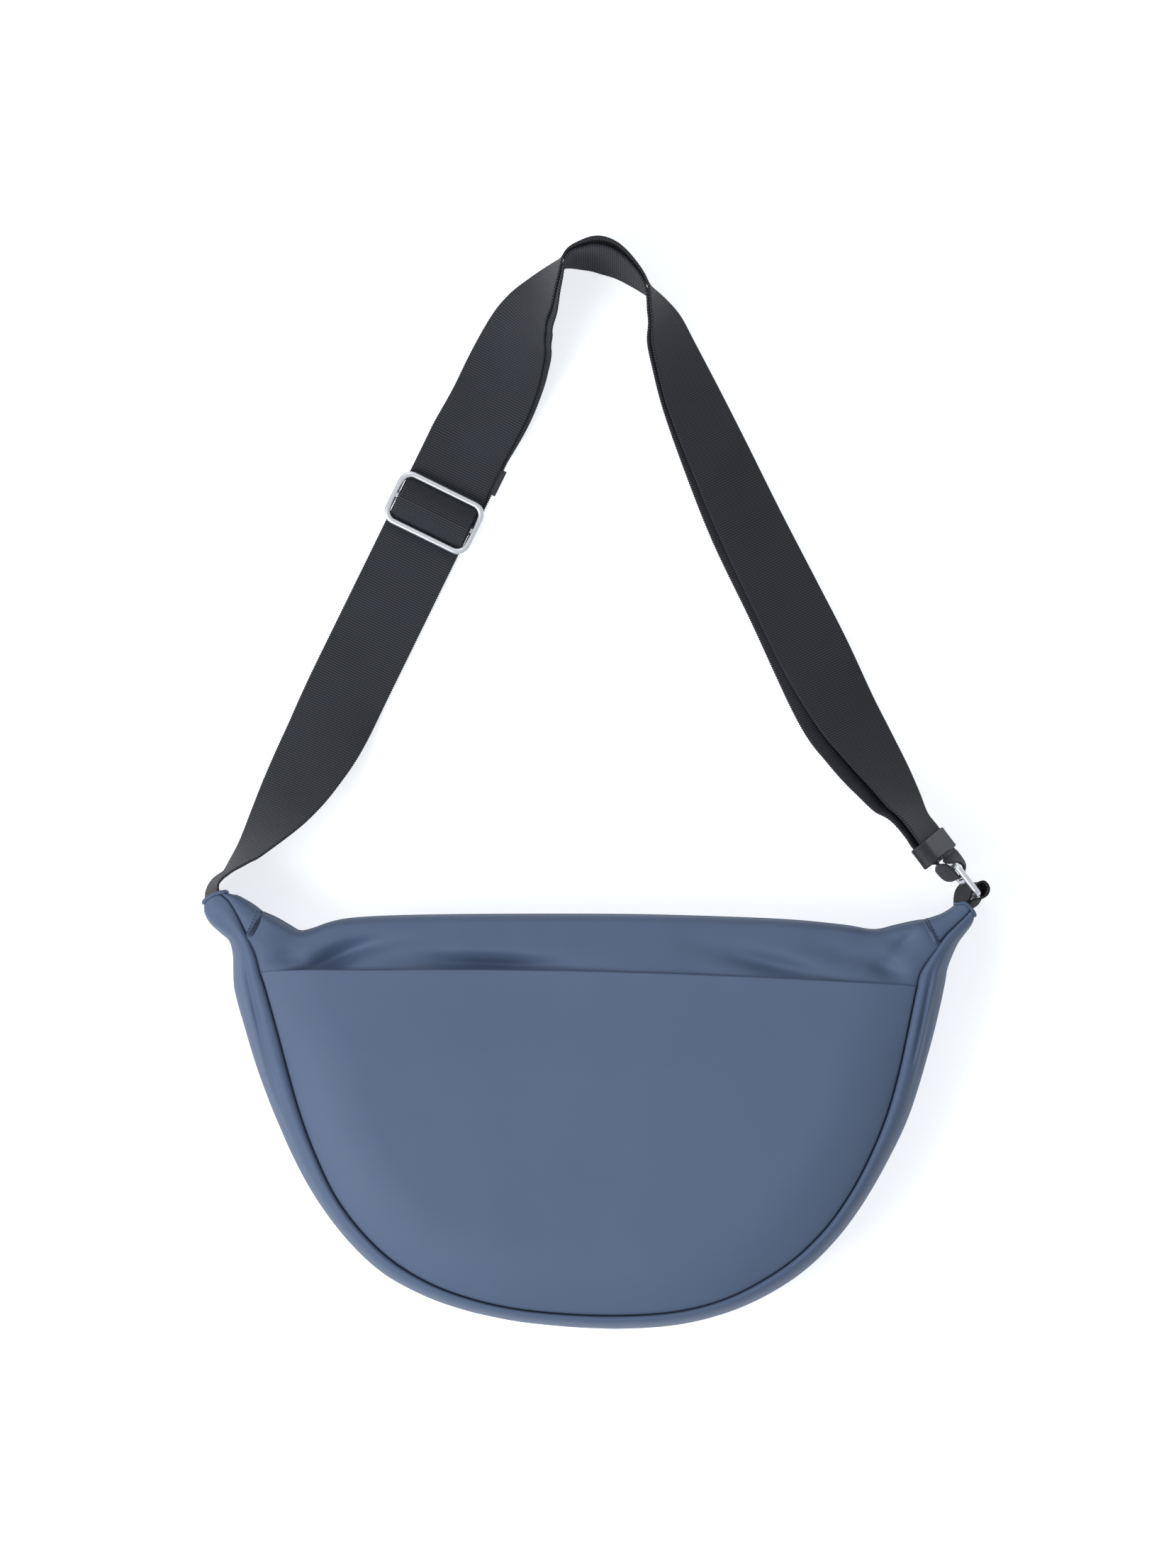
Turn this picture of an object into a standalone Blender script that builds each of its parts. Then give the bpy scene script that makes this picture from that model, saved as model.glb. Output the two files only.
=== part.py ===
"""Crescent sling bag: a half moon body in padded fabric with a long webbing strap.

The bag lies on its back. +X runs to the right, +Y from the bag's rounded bottom to its zip,
+Z away from the back panel. The origin is on the back panel's flat underside. Lengths are in metres.
"""

from math import cos, pi, radians, sin, sqrt

import bmesh
import bpy
import numpy as np
from mathutils import Matrix, Vector

OBJECT_NAME = "crescent_sling_bag"

# Clearances
SEAM_GAP = 0.0003
TRIM_GAP = 0.0005
BAR_GAP = 0.0003
SINK = 0.0004

# Body outline, read on the front face
SEAM_HALF_WIDTH = 0.1615
SEAM_BOTTOM = -0.0908
TOP_EDGE = 0.0970
TOP_INSET = 0.0061
CAP_SEAM_DROP = 0.0131
TOP_HALF_WIDTH = SEAM_HALF_WIDTH - TOP_INSET
SEAM_HEIGHT = TOP_EDGE - CAP_SEAM_DROP - SEAM_BOTTOM
TOP_DIP = 0.0070
FRONT_SEAM_Z = 0.0440
SEAM_ALLOWANCE = 0.0040

# Places along the right half of the curved seam, as shares of its half width and height
SEAM_SHARES = (
    (0.200, 0.011), (0.384, 0.047), (0.506, 0.098), (0.641, 0.193), (0.726, 0.290),
    (0.786, 0.385), (0.830, 0.481), (0.869, 0.578), (0.894, 0.673), (0.916, 0.769),
    (0.946, 0.865), (1.0, 1.0), (1.036, 1.08),
)
# How far the top edge drops, as shares of the top's half width and of the dip
TOP_SHARES = (
    (0.0, 0.0), (0.37, 0.05), (0.56, 0.15), (0.68, 0.35), (0.79, 0.70),
    (0.87, 1.0), (0.93, 0.70), (1.0, 0.07), (1.08, -0.5),
)

# Fabric and lining
FABRIC_THICKNESS = 0.0012
FRONT_CROWN = 0.0045
POCKET_CROWN = 0.0105
CROWN_RAMP = 0.034
TOP_FALL = 0.0022
LINING_THICKNESS = 0.0008
LINING_INSET = 0.0080
LINING_CORNER_SHARE = 1.5
LINING_ROUND_SHARE = 0.45
LINING_FRONT_GAP = 0.0040
LINING_FRONT_Z = FRONT_SEAM_Z - LINING_FRONT_GAP
LINING_MOUTH_INSET = 0.0114
LINING_MOUTH_HALF_WIDTH = TOP_HALF_WIDTH - LINING_MOUTH_INSET
LINING_MOUTH_HALF_HEIGHT = 0.0076

# Gusset bulge outside the seam, at the bottom, where it is fullest and at the end caps
GUSSET_BOTTOM_BULGE = 0.0077
GUSSET_SIDE_BULGE = 0.0142
GUSSET_END_BULGE = 0.0120
GUSSET_FULLEST_SHARE = 0.78

# Front pocket, whose top edge slopes down to the right
POCKET_DROP = 0.0300
POCKET_EDGE_Y = TOP_EDGE - POCKET_DROP
POCKET_EDGE_FALL = 0.0035
HEM_WIDTH = 0.0125
HEM_THICKNESS = 0.0010
HEM_END_INSET = 0.0105

# Inner slip pocket on the back of the lining
INNER_POCKET_WIDTH = 0.150
INNER_POCKET_HEIGHT = 0.080
INNER_POCKET_Y = -0.010
INNER_POCKET_THICKNESS = 0.0012

# Top face, from the front lip back to the zip and on to the back panel
LIP_DROP = 0.0075
LIP_Z = FRONT_SEAM_Z - LIP_DROP
LIP_DEPTH = 0.0045
BACK_LIP_Z = 0.0075
BACK_LIP_DROP = 0.0010
# How far down the front lip's turn to the zip its rows are, and the back strip's rows from the zip to
# the lip: how far back, and how far down, each one is
LIP_FALL_SHARES = (0.5, 0.85, 1.0)
BACK_STRIP_SHARES = ((1.0, 0.0), (0.85, 0.25), (0.35, 0.6), (0.0, 1.0))
ZIP_RECESS = 0.0120
ZIP_LIFT = 0.0005
ZIP_Y = TOP_EDGE - ZIP_RECESS
ZIP_Z = FRONT_SEAM_Z / 2 + ZIP_LIFT
TAPE_WIDTH = 0.0085
TAPE_THICKNESS = 0.0008
TAPE_LAP = 0.0045
TAPE_END_INSET = 0.0094
TAPE_HALF_LENGTH = TOP_HALF_WIDTH - TAPE_END_INSET
COIL_END_INSET = 0.0080
COIL_HALF_LENGTH = TAPE_HALF_LENGTH - COIL_END_INSET
COIL_WIDTH = 0.0017
COIL_HEIGHT = 0.0020
COIL_SPLIT = 0.0014
STOP_LENGTH = 0.0030
STOP_HEIGHT = 0.0022

# Zip slider and pull
SLIDER_PLATE_LENGTH = 0.0105
SLIDER_PLATE_WIDTH = 0.0082
SLIDER_PLATE_THICKNESS = 0.0009
SLIDER_BRIDGE_THICKNESS = 0.0007
SLIDER_BRIDGE_LENGTH = 0.0034
BAIL_WIRE = 0.0010
BAIL_RADIUS = 0.0022
PULL_LENGTH = 0.0240
PULL_WIDTH = 0.0052
PULL_THICKNESS = 0.0009
PULL_BAR = 0.0014
PULL_SLOT_WIDTH = 0.0020
ZIP_START_INSET = 0.0120
ZIP_START = ZIP_START_INSET - COIL_HALF_LENGTH

# Webbing
WEBBING_WIDTH = 0.0380
WEBBING_THICKNESS = 0.0012
LAYER_GAP = 0.0004
END_GAP = 0.0004
WEBBING_LIFT = 0.0010
TIP_WEBBING_Z = FRONT_SEAM_Z / 2 + WEBBING_LIFT
STRAP_END_REACH = 0.0226
STRAP_HALF_SPAN = TOP_HALF_WIDTH + STRAP_END_REACH
STRAP_RISE = 0.2900
STRAP_BASE_GAP = 0.0140
STRAP_BASE_Y = TOP_EDGE + STRAP_BASE_GAP
SWING_GAP = 0.0190
SWING_Y = TOP_EDGE + SWING_GAP

# End caps: reinforced sleeves that close the body at both ends of the zip
CAP_THICKNESS = 0.0012
CAP_DEPTH = 0.0262
CAP_RISE = 0.0015
CAP_TOP_Z = FRONT_SEAM_Z + CAP_RISE
TIP_SLOT = 0.0106
TIP_SLOT_GAP = 0.0017
TIP_HALF_HEIGHT = WEBBING_WIDTH / 2 + CAP_THICKNESS + TIP_SLOT_GAP
TIP_OUT = 0.0242
TIP_RISE = 0.0088
LEFT_TIP = (-TOP_HALF_WIDTH - TIP_OUT, TOP_EDGE + TIP_RISE)
LEFT_TIP_TURN = 118.0
RIGHT_TIP_TURN = 46.5
CAP_SECTIONS = 5
# Section of a cap at its seam and at its tip, as shares of its depth and height
CAP_SEAM_SHARES = (
    (0.0, 0.80), (0.05, 0.95), (0.20, 1.0), (0.55, 0.995), (0.80, 0.93), (0.95, 0.74), (1.0, 0.50),
    (0.95, 0.22), (0.80, 0.05), (0.55, 0.0), (0.12, 0.0), (0.02, 0.14), (0.22, 0.32), (0.22, 0.62),
)
CAP_TIP_SHARES = (
    (0.0, 0.93), (0.04, 0.99), (0.20, 1.0), (0.60, 1.0), (0.96, 0.99), (1.0, 0.93), (1.0, 0.50),
    (1.0, 0.07), (0.96, 0.01), (0.60, 0.0), (0.20, 0.0), (0.0, 0.07), (0.0, 0.34), (0.0, 0.62),
)

# Ends of the webbing
LEFT_ROOT_DEPTH = 0.0070
LEFT_ROOT_GAP = 0.0005
LEFT_ROOT_EXIT = 0.0052

# Outer edge of the strap, which lies on the table, as shares of its half span and rise, and the
# webbing's tilt in degrees: 0 is flat, 90 is on edge, and past 90 it leans outwards
LEFT_ROOT_SHARES = (
    (-0.983, 0.024, 86.0), (-0.961, 0.044, 78.0), (-0.934, 0.084, 64.0), (-0.905, 0.128, 49.0),
    (-0.877, 0.172, 36.0), (-0.845, 0.218, 25.0), (-0.811, 0.264, 14.0), (-0.778, 0.310, 4.0),
)
STRAIGHT_START_SHARES = (-0.7425, 0.3566)
STRAIGHT_END_SHARES = (-0.4460, 0.7280)
STRAIGHT_STOPS_SHARES = (0.0, 0.22, 0.90, 1.0)
ARCH_SHARES = (
    (-0.424, 0.7555, 1.0), (-0.375, 0.809, 7.0), (-0.335, 0.859, 16.0), (-0.297, 0.902, 29.0),
    (-0.260, 0.938, 41.0), (-0.220, 0.965, 51.0), (-0.175, 0.987, 62.0), (-0.128, 1.009, 76.0),
    (-0.081, 1.031, 88.0), (-0.034, 1.046, 90.0), (0.013, 1.053, 90.0), (0.060, 1.043, 90.0),
    (0.104, 1.017, 90.0), (0.149, 0.985, 87.0), (0.189, 0.958, 76.0), (0.228, 0.928, 65.0),
    (0.267, 0.883, 57.0), (0.324, 0.817, 47.0), (0.403, 0.722, 40.0), (0.493, 0.611, 34.0),
    (0.591, 0.495, 30.0), (0.668, 0.403, 28.0), (0.738, 0.310, 37.0), (0.783, 0.255, 46.0),
    (0.830, 0.197, 56.0), (0.864, 0.149, 64.0),
)
# How far the inner layer stands off the outer one and peeks out beyond it, and how far both
# layers' low edges reach in under the arch, along that table
ARCH_GAP = 0.0040
ARCH_GAP_SHARES = (
    0, 0.02, 0.08, 0.15, 0.25, 0.35, 0.45, 0.55, 0.6, 0.6, 0.6, 0.6, 0.55, 0.45, 0.3, 0.2, 0.1, 0.05, 0,
    0, 0, 0, 0.3, 0.5, 0.7, 0.8,
)
INNER_PEEK = 0.0070
STRAIGHT_PEEK_SHARE = 0.24
INNER_PEEK_SHARES = (
    0.24, 0.3, 0.3, 0.4, 0.45, 0.4, 0.4, 0.3, 0.1, 0, 0, 0, 0, 0, 0, 0, 0.05, 0.2, 0.4, 0.5, 0.45, 0.55,
    0.9, 1, 1, 0.6,
)
LOW_REACH = 0.0120
OUTER_REACH_SHARE = 0.45
LOW_REACH_SHARES = (
    0, 0, 0, 0, 0, 0, 0.05, 0.2, 0.5, 0.8, 1, 1, 0.8, 0.5, 0.2, 0.05, 0, 0, 0, 0, 0, 0, 0, 0, 0, 0,
)
STEPS_PER_SPAN = 3
RIGHT_ROOT_STATION = 22

# Strap slider: a flat metal frame with a centre bar, and the webbing that it carries
SLIDER_WIDTH = 0.0269
SLIDER_WIRE = 0.0029
SLIDER_SIDE_GAP = 0.0003
SLIDER_LENGTH = WEBBING_WIDTH + 2 * (SLIDER_WIRE + SLIDER_SIDE_GAP)
SLIDER_CORNER = 0.0068
SLIDER_PLACE_SHARE = 0.75
WRAP_HALF_OPENING = 35.0
TAIL_START = -0.0020
TAIL_LENGTH = 0.0212
PATCH_LENGTH = 0.0128
PATCH_PROUD = 0.0016
PATCH_GAP = 0.0018
HUMP_SQUEEZE = 0.0008
HUMP_END_INSET = 0.0004
# Half of the webbing's rise over the centre bar, as shares of its reach and height
HUMP_SHARES = ((-1.0, 0.0), (-0.80, 0.0), (-0.62, 0.25), (-0.32, 0.78), (0.0, 1.0))

# Ring at the right end, and the webbing tab that holds it
RING_WIDTH = 0.0193
RING_WIRE = 0.0029
RING_SIDE_GAP = 0.0007
RING_LENGTH = WEBBING_WIDTH + 2 * (RING_WIRE + RING_SIDE_GAP)
RING_CORNER = 0.0036
RING_TURN = -52.0
END_TILT = 91.0
RING_LOOP_RADIUS = 0.0036
RING_OUT = 0.0132
RING_RISE = 0.0237
RING_TOP_CORNER = (TOP_HALF_WIDTH + RING_OUT, TOP_EDGE + RING_RISE)
TAB_SLACK = 0.0032
TAB_REACH = 0.0074
TAB_CLEARANCE = 0.0008
TAB_DEPTH = 0.0070

# Keeper loop round both layers at the right end
KEEPER_OUT = 0.0078
KEEPER_RISE = 0.0333
KEEPER_CENTRE = (TOP_HALF_WIDTH + KEEPER_OUT, TOP_EDGE + KEEPER_RISE)
KEEPER_TURN = -53.0
KEEPER_TILT = 80.0
KEEPER_SLACK = 0.0024
KEEPER_LENGTH = 0.0110
KEEPER_WALL = 0.0015
KEEPER_LEAD = 0.0045
KEEPER_RUN = 0.0020

# Mesh fineness
SEAM_STEPS = 2
PANEL_COLUMNS = 22
GUSSET_COLUMNS = 9
ARC_STEPS = 5


def clear_scene():
    for obj in list(bpy.data.objects):
        bpy.data.objects.remove(obj, do_unlink=True)


def make_collection(name, hidden):
    collection = bpy.data.collections.new(name)
    bpy.context.scene.collection.children.link(collection)
    collection.hide_render = hidden
    return collection


def make_material(name, colour, roughness, metallic):
    material = bpy.data.materials.new(name)
    material.use_nodes = True
    shader = material.node_tree.nodes["Principled BSDF"]
    shader.inputs["Base Color"].default_value = (*colour, 1.0)
    shader.inputs["Roughness"].default_value = roughness
    shader.inputs["Metallic"].default_value = metallic
    material.diffuse_color = (*colour, 1.0)
    return material


FINISHES = {
    "panel_fabric": ((0.102, 0.144, 0.231), 0.82, 0.0),
    "pocket_fabric": ((0.108, 0.150, 0.238), 0.82, 0.0),
    "gusset_fabric": ((0.098, 0.138, 0.222), 0.82, 0.0),
    "cap_fabric": ((0.112, 0.155, 0.245), 0.82, 0.0),
    "lining_fabric": ((0.030, 0.036, 0.050), 0.90, 0.0),
    "black_webbing": ((0.032, 0.036, 0.042), 0.88, 0.0),
    "black_tape": ((0.020, 0.023, 0.030), 0.90, 0.0),
    "black_coil": ((0.015, 0.016, 0.020), 0.55, 0.0),
    "black_leather": ((0.045, 0.050, 0.062), 0.62, 0.0),
    "satin_steel": ((0.620, 0.640, 0.680), 0.32, 1.0),
    "dark_steel": ((0.160, 0.165, 0.175), 0.38, 1.0),
}


class Workshop:
    """Where finished pieces and cutters go, and what they are made of."""

    def __init__(self):
        self.parts = make_collection(OBJECT_NAME, hidden=False)
        self.cutters = make_collection("cutters", hidden=True)
        self.materials = {name: make_material(name, *finish) for name, finish in FINISHES.items()}

    def add(self, name, mesh, finish):
        obj = bpy.data.objects.new(name, mesh)
        mesh.materials.append(self.materials[finish])
        self.parts.objects.link(obj)
        return obj

    def add_cutter(self, name, mesh):
        obj = bpy.data.objects.new(name, mesh)
        self.cutters.objects.link(obj)
        obj.hide_render = True
        obj.display_type = "WIRE"
        return obj

    def pivot(self, name, place, turn=None):
        """An empty on a joint's axis, which carries the pieces that move there."""
        empty = bpy.data.objects.new(name, None)
        self.parts.objects.link(empty)
        empty.matrix_world = Matrix.Translation(place) @ (turn or Matrix.Identity(4))
        bpy.context.view_layer.update()
        return empty


def ride(obj, pivot):
    """Parents a piece that was made in world coordinates to its joint's empty."""
    obj.parent = pivot
    obj.matrix_parent_inverse = pivot.matrix_world.inverted()
    return obj


def ease(a, b, share):
    """Goes smoothly from a to b as the share goes from 0 to 1."""
    share = min(max(share, 0.0), 1.0)
    return a + (b - a) * share * share * (3 - 2 * share)


def heading(degrees):
    return Vector((cos(radians(degrees)), sin(radians(degrees)), 0.0))


def across(direction):
    """The level direction a quarter turn clockwise from this one."""
    return Vector((direction.y, -direction.x, 0.0))


UP = Vector((0.0, 0.0, 1.0))


def spline(points, steps):
    """A Catmull Rom curve through rows of numbers, with so many steps a span."""
    rows = np.array(points, dtype=float)
    padded = np.vstack([2 * rows[0] - rows[1], rows, 2 * rows[-1] - rows[-2]])
    found = []
    for index in range(len(rows) - 1):
        before, start, end, after = padded[index : index + 4]
        for step in range(steps):
            t = step / steps
            found.append(
                start
                + 0.5 * t * (end - before)
                + t * t * (before - 2.5 * start + 2 * end - 0.5 * after)
                + t**3 * (1.5 * (start - end) + 0.5 * (after - before))
            )
    found.append(rows[-1])
    return found


def loft_mesh(name, rows, closed=False):
    """A sheet of quads through rows of points. With closed, each row is a loop."""
    mesh = bpy.data.meshes.new(name)
    count = len(rows[0])
    faces = []
    for row in range(len(rows) - 1):
        for column in range(count if closed else count - 1):
            here = row * count + column
            beside = row * count + (column + 1) % count
            faces.append((here, beside, beside + count, here + count))
    mesh.from_pydata([tuple(point) for row in rows for point in row], [], faces)
    mesh.update()
    mesh.shade_smooth()
    return mesh


def thicken(obj, thickness, offset):
    """Solidifies a sheet: offset 1 adds on the side its faces point to, -1 behind them."""
    modifier = obj.modifiers.new("Thickness", "SOLIDIFY")
    modifier.thickness = thickness
    modifier.offset = offset
    return obj


def round_edges(obj, width, segments=2):
    modifier = obj.modifiers.new("Rounding", "BEVEL")
    modifier.width = width
    modifier.segments = segments
    modifier.limit_method = "ANGLE"
    return obj


def boolean(obj, other, operation):
    modifier = obj.modifiers.new(operation.title(), "BOOLEAN")
    modifier.operation = operation
    modifier.solver = "EXACT"
    modifier.object = other
    return obj


def box_mesh(name, size, centre):
    """A box from a cube primitive."""
    mesh = bpy.data.meshes.new(name)
    shape = bmesh.new()
    placed = Matrix.Translation(centre) @ Matrix.Diagonal((*size, 1.0))
    bmesh.ops.create_cube(shape, size=1.0, matrix=placed)
    shape.to_mesh(mesh)
    shape.free()
    return mesh


def wire_mesh(name, points, radius, cyclic, resolution):
    """A round wire along straight spans, as a mesh with closed ends."""
    curve = bpy.data.curves.new(name, "CURVE")
    curve.dimensions = "3D"
    curve.bevel_depth = radius
    curve.bevel_resolution = resolution
    curve.use_fill_caps = not cyclic
    path = curve.splines.new("POLY")
    path.points.add(len(points) - 1)
    for point, place in zip(path.points, points):
        point.co = (*place, 1.0)
    path.use_cyclic_u = cyclic
    guide = bpy.data.objects.new(name + "_guide", curve)
    bpy.context.scene.collection.objects.link(guide)
    graph = bpy.context.evaluated_depsgraph_get()
    mesh = bpy.data.meshes.new_from_object(guide.evaluated_get(graph))
    bpy.data.objects.remove(guide, do_unlink=True)
    shape = bmesh.new()
    shape.from_mesh(mesh)
    bmesh.ops.remove_doubles(shape, verts=shape.verts, dist=radius / 1000)
    bmesh.ops.recalc_face_normals(shape, faces=shape.faces)
    shape.to_mesh(mesh)
    shape.free()
    mesh.shade_smooth()
    return mesh


def extruded_outline(name, points, thickness):
    """A flat outline as a filled 2D curve with a thickness, standing on its own plane."""
    curve = bpy.data.curves.new(name, "CURVE")
    curve.dimensions = "2D"
    curve.fill_mode = "BOTH"
    curve.extrude = thickness / 2
    path = curve.splines.new("POLY")
    path.points.add(len(points) - 1)
    for point, place in zip(path.points, points):
        point.co = (place[0], place[1], 0.0, 1.0)
    path.use_cyclic_u = True
    guide = bpy.data.objects.new(name + "_guide", curve)
    bpy.context.scene.collection.objects.link(guide)
    graph = bpy.context.evaluated_depsgraph_get()
    mesh = bpy.data.meshes.new_from_object(guide.evaluated_get(graph))
    bpy.data.objects.remove(guide, do_unlink=True)
    shape = bmesh.new()
    shape.from_mesh(mesh)
    bmesh.ops.remove_doubles(shape, verts=shape.verts, dist=thickness / 1000)
    bmesh.ops.recalc_face_normals(shape, faces=shape.faces)
    shape.to_mesh(mesh)
    shape.free()
    return mesh


# Outline of the body


def seam_half():
    """The right half of the curved seam, from the bottom's middle past the end cap's seam."""
    right = [
        (SEAM_HALF_WIDTH * x, SEAM_BOTTOM + SEAM_HEIGHT * y) for x, y in SEAM_SHARES
    ]
    left_guide = (-right[0][0], right[0][1])
    whole = spline([left_guide, (0.0, SEAM_BOTTOM), *right], SEAM_STEPS)
    return [Vector((x, y)) for x, y in whole[SEAM_STEPS:]]


SEAM_HALF = seam_half()
SEAM_LINE = [Vector((-point.x, point.y)) for point in reversed(SEAM_HALF[1:])] + SEAM_HALF
SEAM_ARRAY = np.array([tuple(point) for point in SEAM_LINE])


def seam_x(y):
    """Half the body's width at y, on the front seam."""
    return float(np.interp(y, [p.y for p in SEAM_HALF], [p.x for p in SEAM_HALF]))


def seam_distance(x, y):
    """How far a place on the front face is from the curved seam."""
    starts, ends = SEAM_ARRAY[:-1], SEAM_ARRAY[1:]
    spans = ends - starts
    place = np.array((x, y))
    shares = np.clip(((place - starts) * spans).sum(1) / (spans**2).sum(1), 0, 1)
    nearest = starts + spans * shares[:, None]
    return float(np.sqrt(((nearest - place) ** 2).sum(1)).min())


TOP_CURVE = np.array(spline(TOP_SHARES, SEAM_STEPS))


def top_edge(x):
    """The top edge's Y at x, as seen from the front."""
    drop_share = float(np.interp(abs(x) / TOP_HALF_WIDTH, TOP_CURVE[:, 0], TOP_CURVE[:, 1]))
    return TOP_EDGE - TOP_DIP * drop_share


def cap_seam(side):
    """Where an end cap starts: the top end of its seam and the direction down the seam."""
    top = Vector((side * TOP_HALF_WIDTH, top_edge(TOP_HALF_WIDTH), 0.0))
    low = Vector((side * SEAM_HALF_WIDTH, SEAM_BOTTOM + SEAM_HEIGHT, 0.0))
    return top, (low - top).normalized()


def trim_ends(mesh):
    """Cuts a sheet off just short of both end caps' seams."""
    shape = bmesh.new()
    shape.from_mesh(mesh)
    for side in (-1, 1):
        top, down = cap_seam(side)
        outward = Vector((down.y, -down.x, 0.0)) * -side
        whole = list(shape.verts) + list(shape.edges) + list(shape.faces)
        bmesh.ops.bisect_plane(
            shape,
            geom=whole,
            plane_co=top - outward * TRIM_GAP,
            plane_no=outward,
            clear_outer=True,
        )
    shape.to_mesh(mesh)
    shape.free()
    return mesh


# Front face


def crown(x, y, height):
    """The puff of a sewn panel: none at the seam, all of its height past the ramp."""
    share = min(seam_distance(x, y) / CROWN_RAMP, 1.0)
    return height * (1 - (1 - share) ** 2.2)


def front_height(x, y):
    """Z of the front panel's outer face."""
    top_share = (y - POCKET_EDGE_Y) / (TOP_EDGE - POCKET_EDGE_Y)
    base = FRONT_SEAM_Z + SEAM_GAP + FABRIC_THICKNESS
    return base + crown(x, y, FRONT_CROWN - ease(0.0, TOP_FALL, top_share))


def pocket_height(x, y):
    """Z of the front pocket's outer face."""
    base = FRONT_SEAM_Z + 2 * (SEAM_GAP + FABRIC_THICKNESS)
    return base + crown(x, y, POCKET_CROWN)


def spread_share(column):
    """Column places from -1 to 1, closer together near both ends."""
    even = 2 * column / PANEL_COLUMNS - 1
    return 0.5 * even - 0.5 * cos(pi * column / PANEL_COLUMNS)


def face_rows(last_row, below):
    """Rows of face places from the bottom seam up to a last row."""
    half = [point for point in SEAM_HALF[1:] if point.y < below]
    shares = [spread_share(column) for column in range(PANEL_COLUMNS + 1)]
    rows = [[(point.x * share, point.y) for share in shares] for point in half]
    goal = [last_row(share) for share in shares]
    for step in (1 / 2, 1.0):
        rows.append(
            [
                (a[0] + (b[0] - a[0]) * step, a[1] + (b[1] - a[1]) * step)
                for a, b in zip(rows[len(half) - 1], goal)
            ]
        )
    return rows


def lip_row(share):
    x = share * seam_x(TOP_EDGE)
    return x, top_edge(x) - LIP_DEPTH


def tape_z(side):
    """Z of a zip tape's outer edge: side 1 is in front of the coil, -1 behind it."""
    return ZIP_Z + side * (COIL_SPLIT / 2 + COIL_WIDTH + SEAM_GAP + TAPE_WIDTH)


def front_panel_rows():
    face = face_rows(lip_row, TOP_EDGE - TOP_DIP - LIP_DEPTH)
    rows = [[(x, y, front_height(x, y)) for x, y in row] for row in face]
    lap_z = tape_z(1) - TAPE_LAP
    lap_y = ZIP_Y + SEAM_GAP + FABRIC_THICKNESS
    start = rows[-1]
    for step in range(1, ARC_STEPS):
        turn = pi / 2 * step / (ARC_STEPS - 1)
        rows.append(
            [
                (x, y + LIP_DEPTH * sin(turn), LIP_Z + (z - LIP_Z) * cos(turn))
                for x, y, z in start
            ]
        )
    for step in LIP_FALL_SHARES:
        rows.append(
            [
                (x, ease(top_edge(x), lap_y, step * 1.1), LIP_Z + (lap_z - LIP_Z) * step)
                for x, _, _ in start
            ]
        )
    return rows


def make_front_panel(shop):
    """One panel from the bottom seam up over the lip and back to the zip tape."""
    mesh = trim_ends(loft_mesh("front_panel", front_panel_rows()))
    thicken(shop.add("front_panel", mesh, "panel_fabric"), FABRIC_THICKNESS, -1.0)


def pocket_edge(x):
    return POCKET_EDGE_Y - POCKET_EDGE_FALL * x / seam_x(POCKET_EDGE_Y)


def pocket_edge_row(share):
    x = share * seam_x(POCKET_EDGE_Y - POCKET_EDGE_FALL * (1 if share > 0 else -1))
    return x, pocket_edge(x)


def make_front_pocket(shop):
    """The slip pocket's panel, sewn in along the curved seam and open at its top edge."""
    face = face_rows(pocket_edge_row, POCKET_EDGE_Y - POCKET_EDGE_FALL - HEM_WIDTH)
    rows = [[(x, y, pocket_height(x, y)) for x, y in row] for row in face]
    mesh = loft_mesh("front_pocket", rows)
    thicken(shop.add("front_pocket", mesh, "pocket_fabric"), FABRIC_THICKNESS, -1.0)


def make_pocket_hem(shop):
    """The facing behind the pocket's top edge."""
    reach = seam_x(POCKET_EDGE_Y - POCKET_EDGE_FALL) - HEM_END_INSET
    rows = []
    for drop_share in (1.0, 0.5, 0.0):
        row = []
        for column in range(PANEL_COLUMNS + 1):
            x = reach * spread_share(column)
            y = pocket_edge(x) - HEM_WIDTH * drop_share - SEAM_GAP
            row.append((x, y, pocket_height(x, y) - FABRIC_THICKNESS - 2 * SEAM_GAP))
        rows.append(row)
    hem = shop.add("pocket_hem", loft_mesh("pocket_hem", rows), "pocket_fabric")
    thicken(hem, HEM_THICKNESS, -1.0)


# Gusset, back and top


def gusset_bulge(share):
    """How far the gusset stands out, from 0 at the bottom to 1 at an end cap."""
    if share < GUSSET_FULLEST_SHARE:
        return ease(GUSSET_BOTTOM_BULGE, GUSSET_SIDE_BULGE, share / GUSSET_FULLEST_SHARE)
    rest = (share - GUSSET_FULLEST_SHARE) / (1 - GUSSET_FULLEST_SHARE)
    return ease(GUSSET_SIDE_BULGE, GUSSET_END_BULGE, rest)


def seam_outward(index):
    """The level direction out of the body at a point of the seam line."""
    before = SEAM_LINE[max(index - 1, 0)]
    after = SEAM_LINE[min(index + 1, len(SEAM_LINE) - 1)]
    along = (after - before).normalized()
    out = Vector((along.y, -along.x, 0.0))
    side = 1 if SEAM_LINE[index].x > 0 else -1
    share = (SEAM_LINE[index].y - SEAM_BOTTOM) / SEAM_HEIGHT
    down = cap_seam(side)[1]
    return out.lerp(down, ease(0.0, 1.0, (share - 0.80) / 0.20)).normalized()


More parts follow.
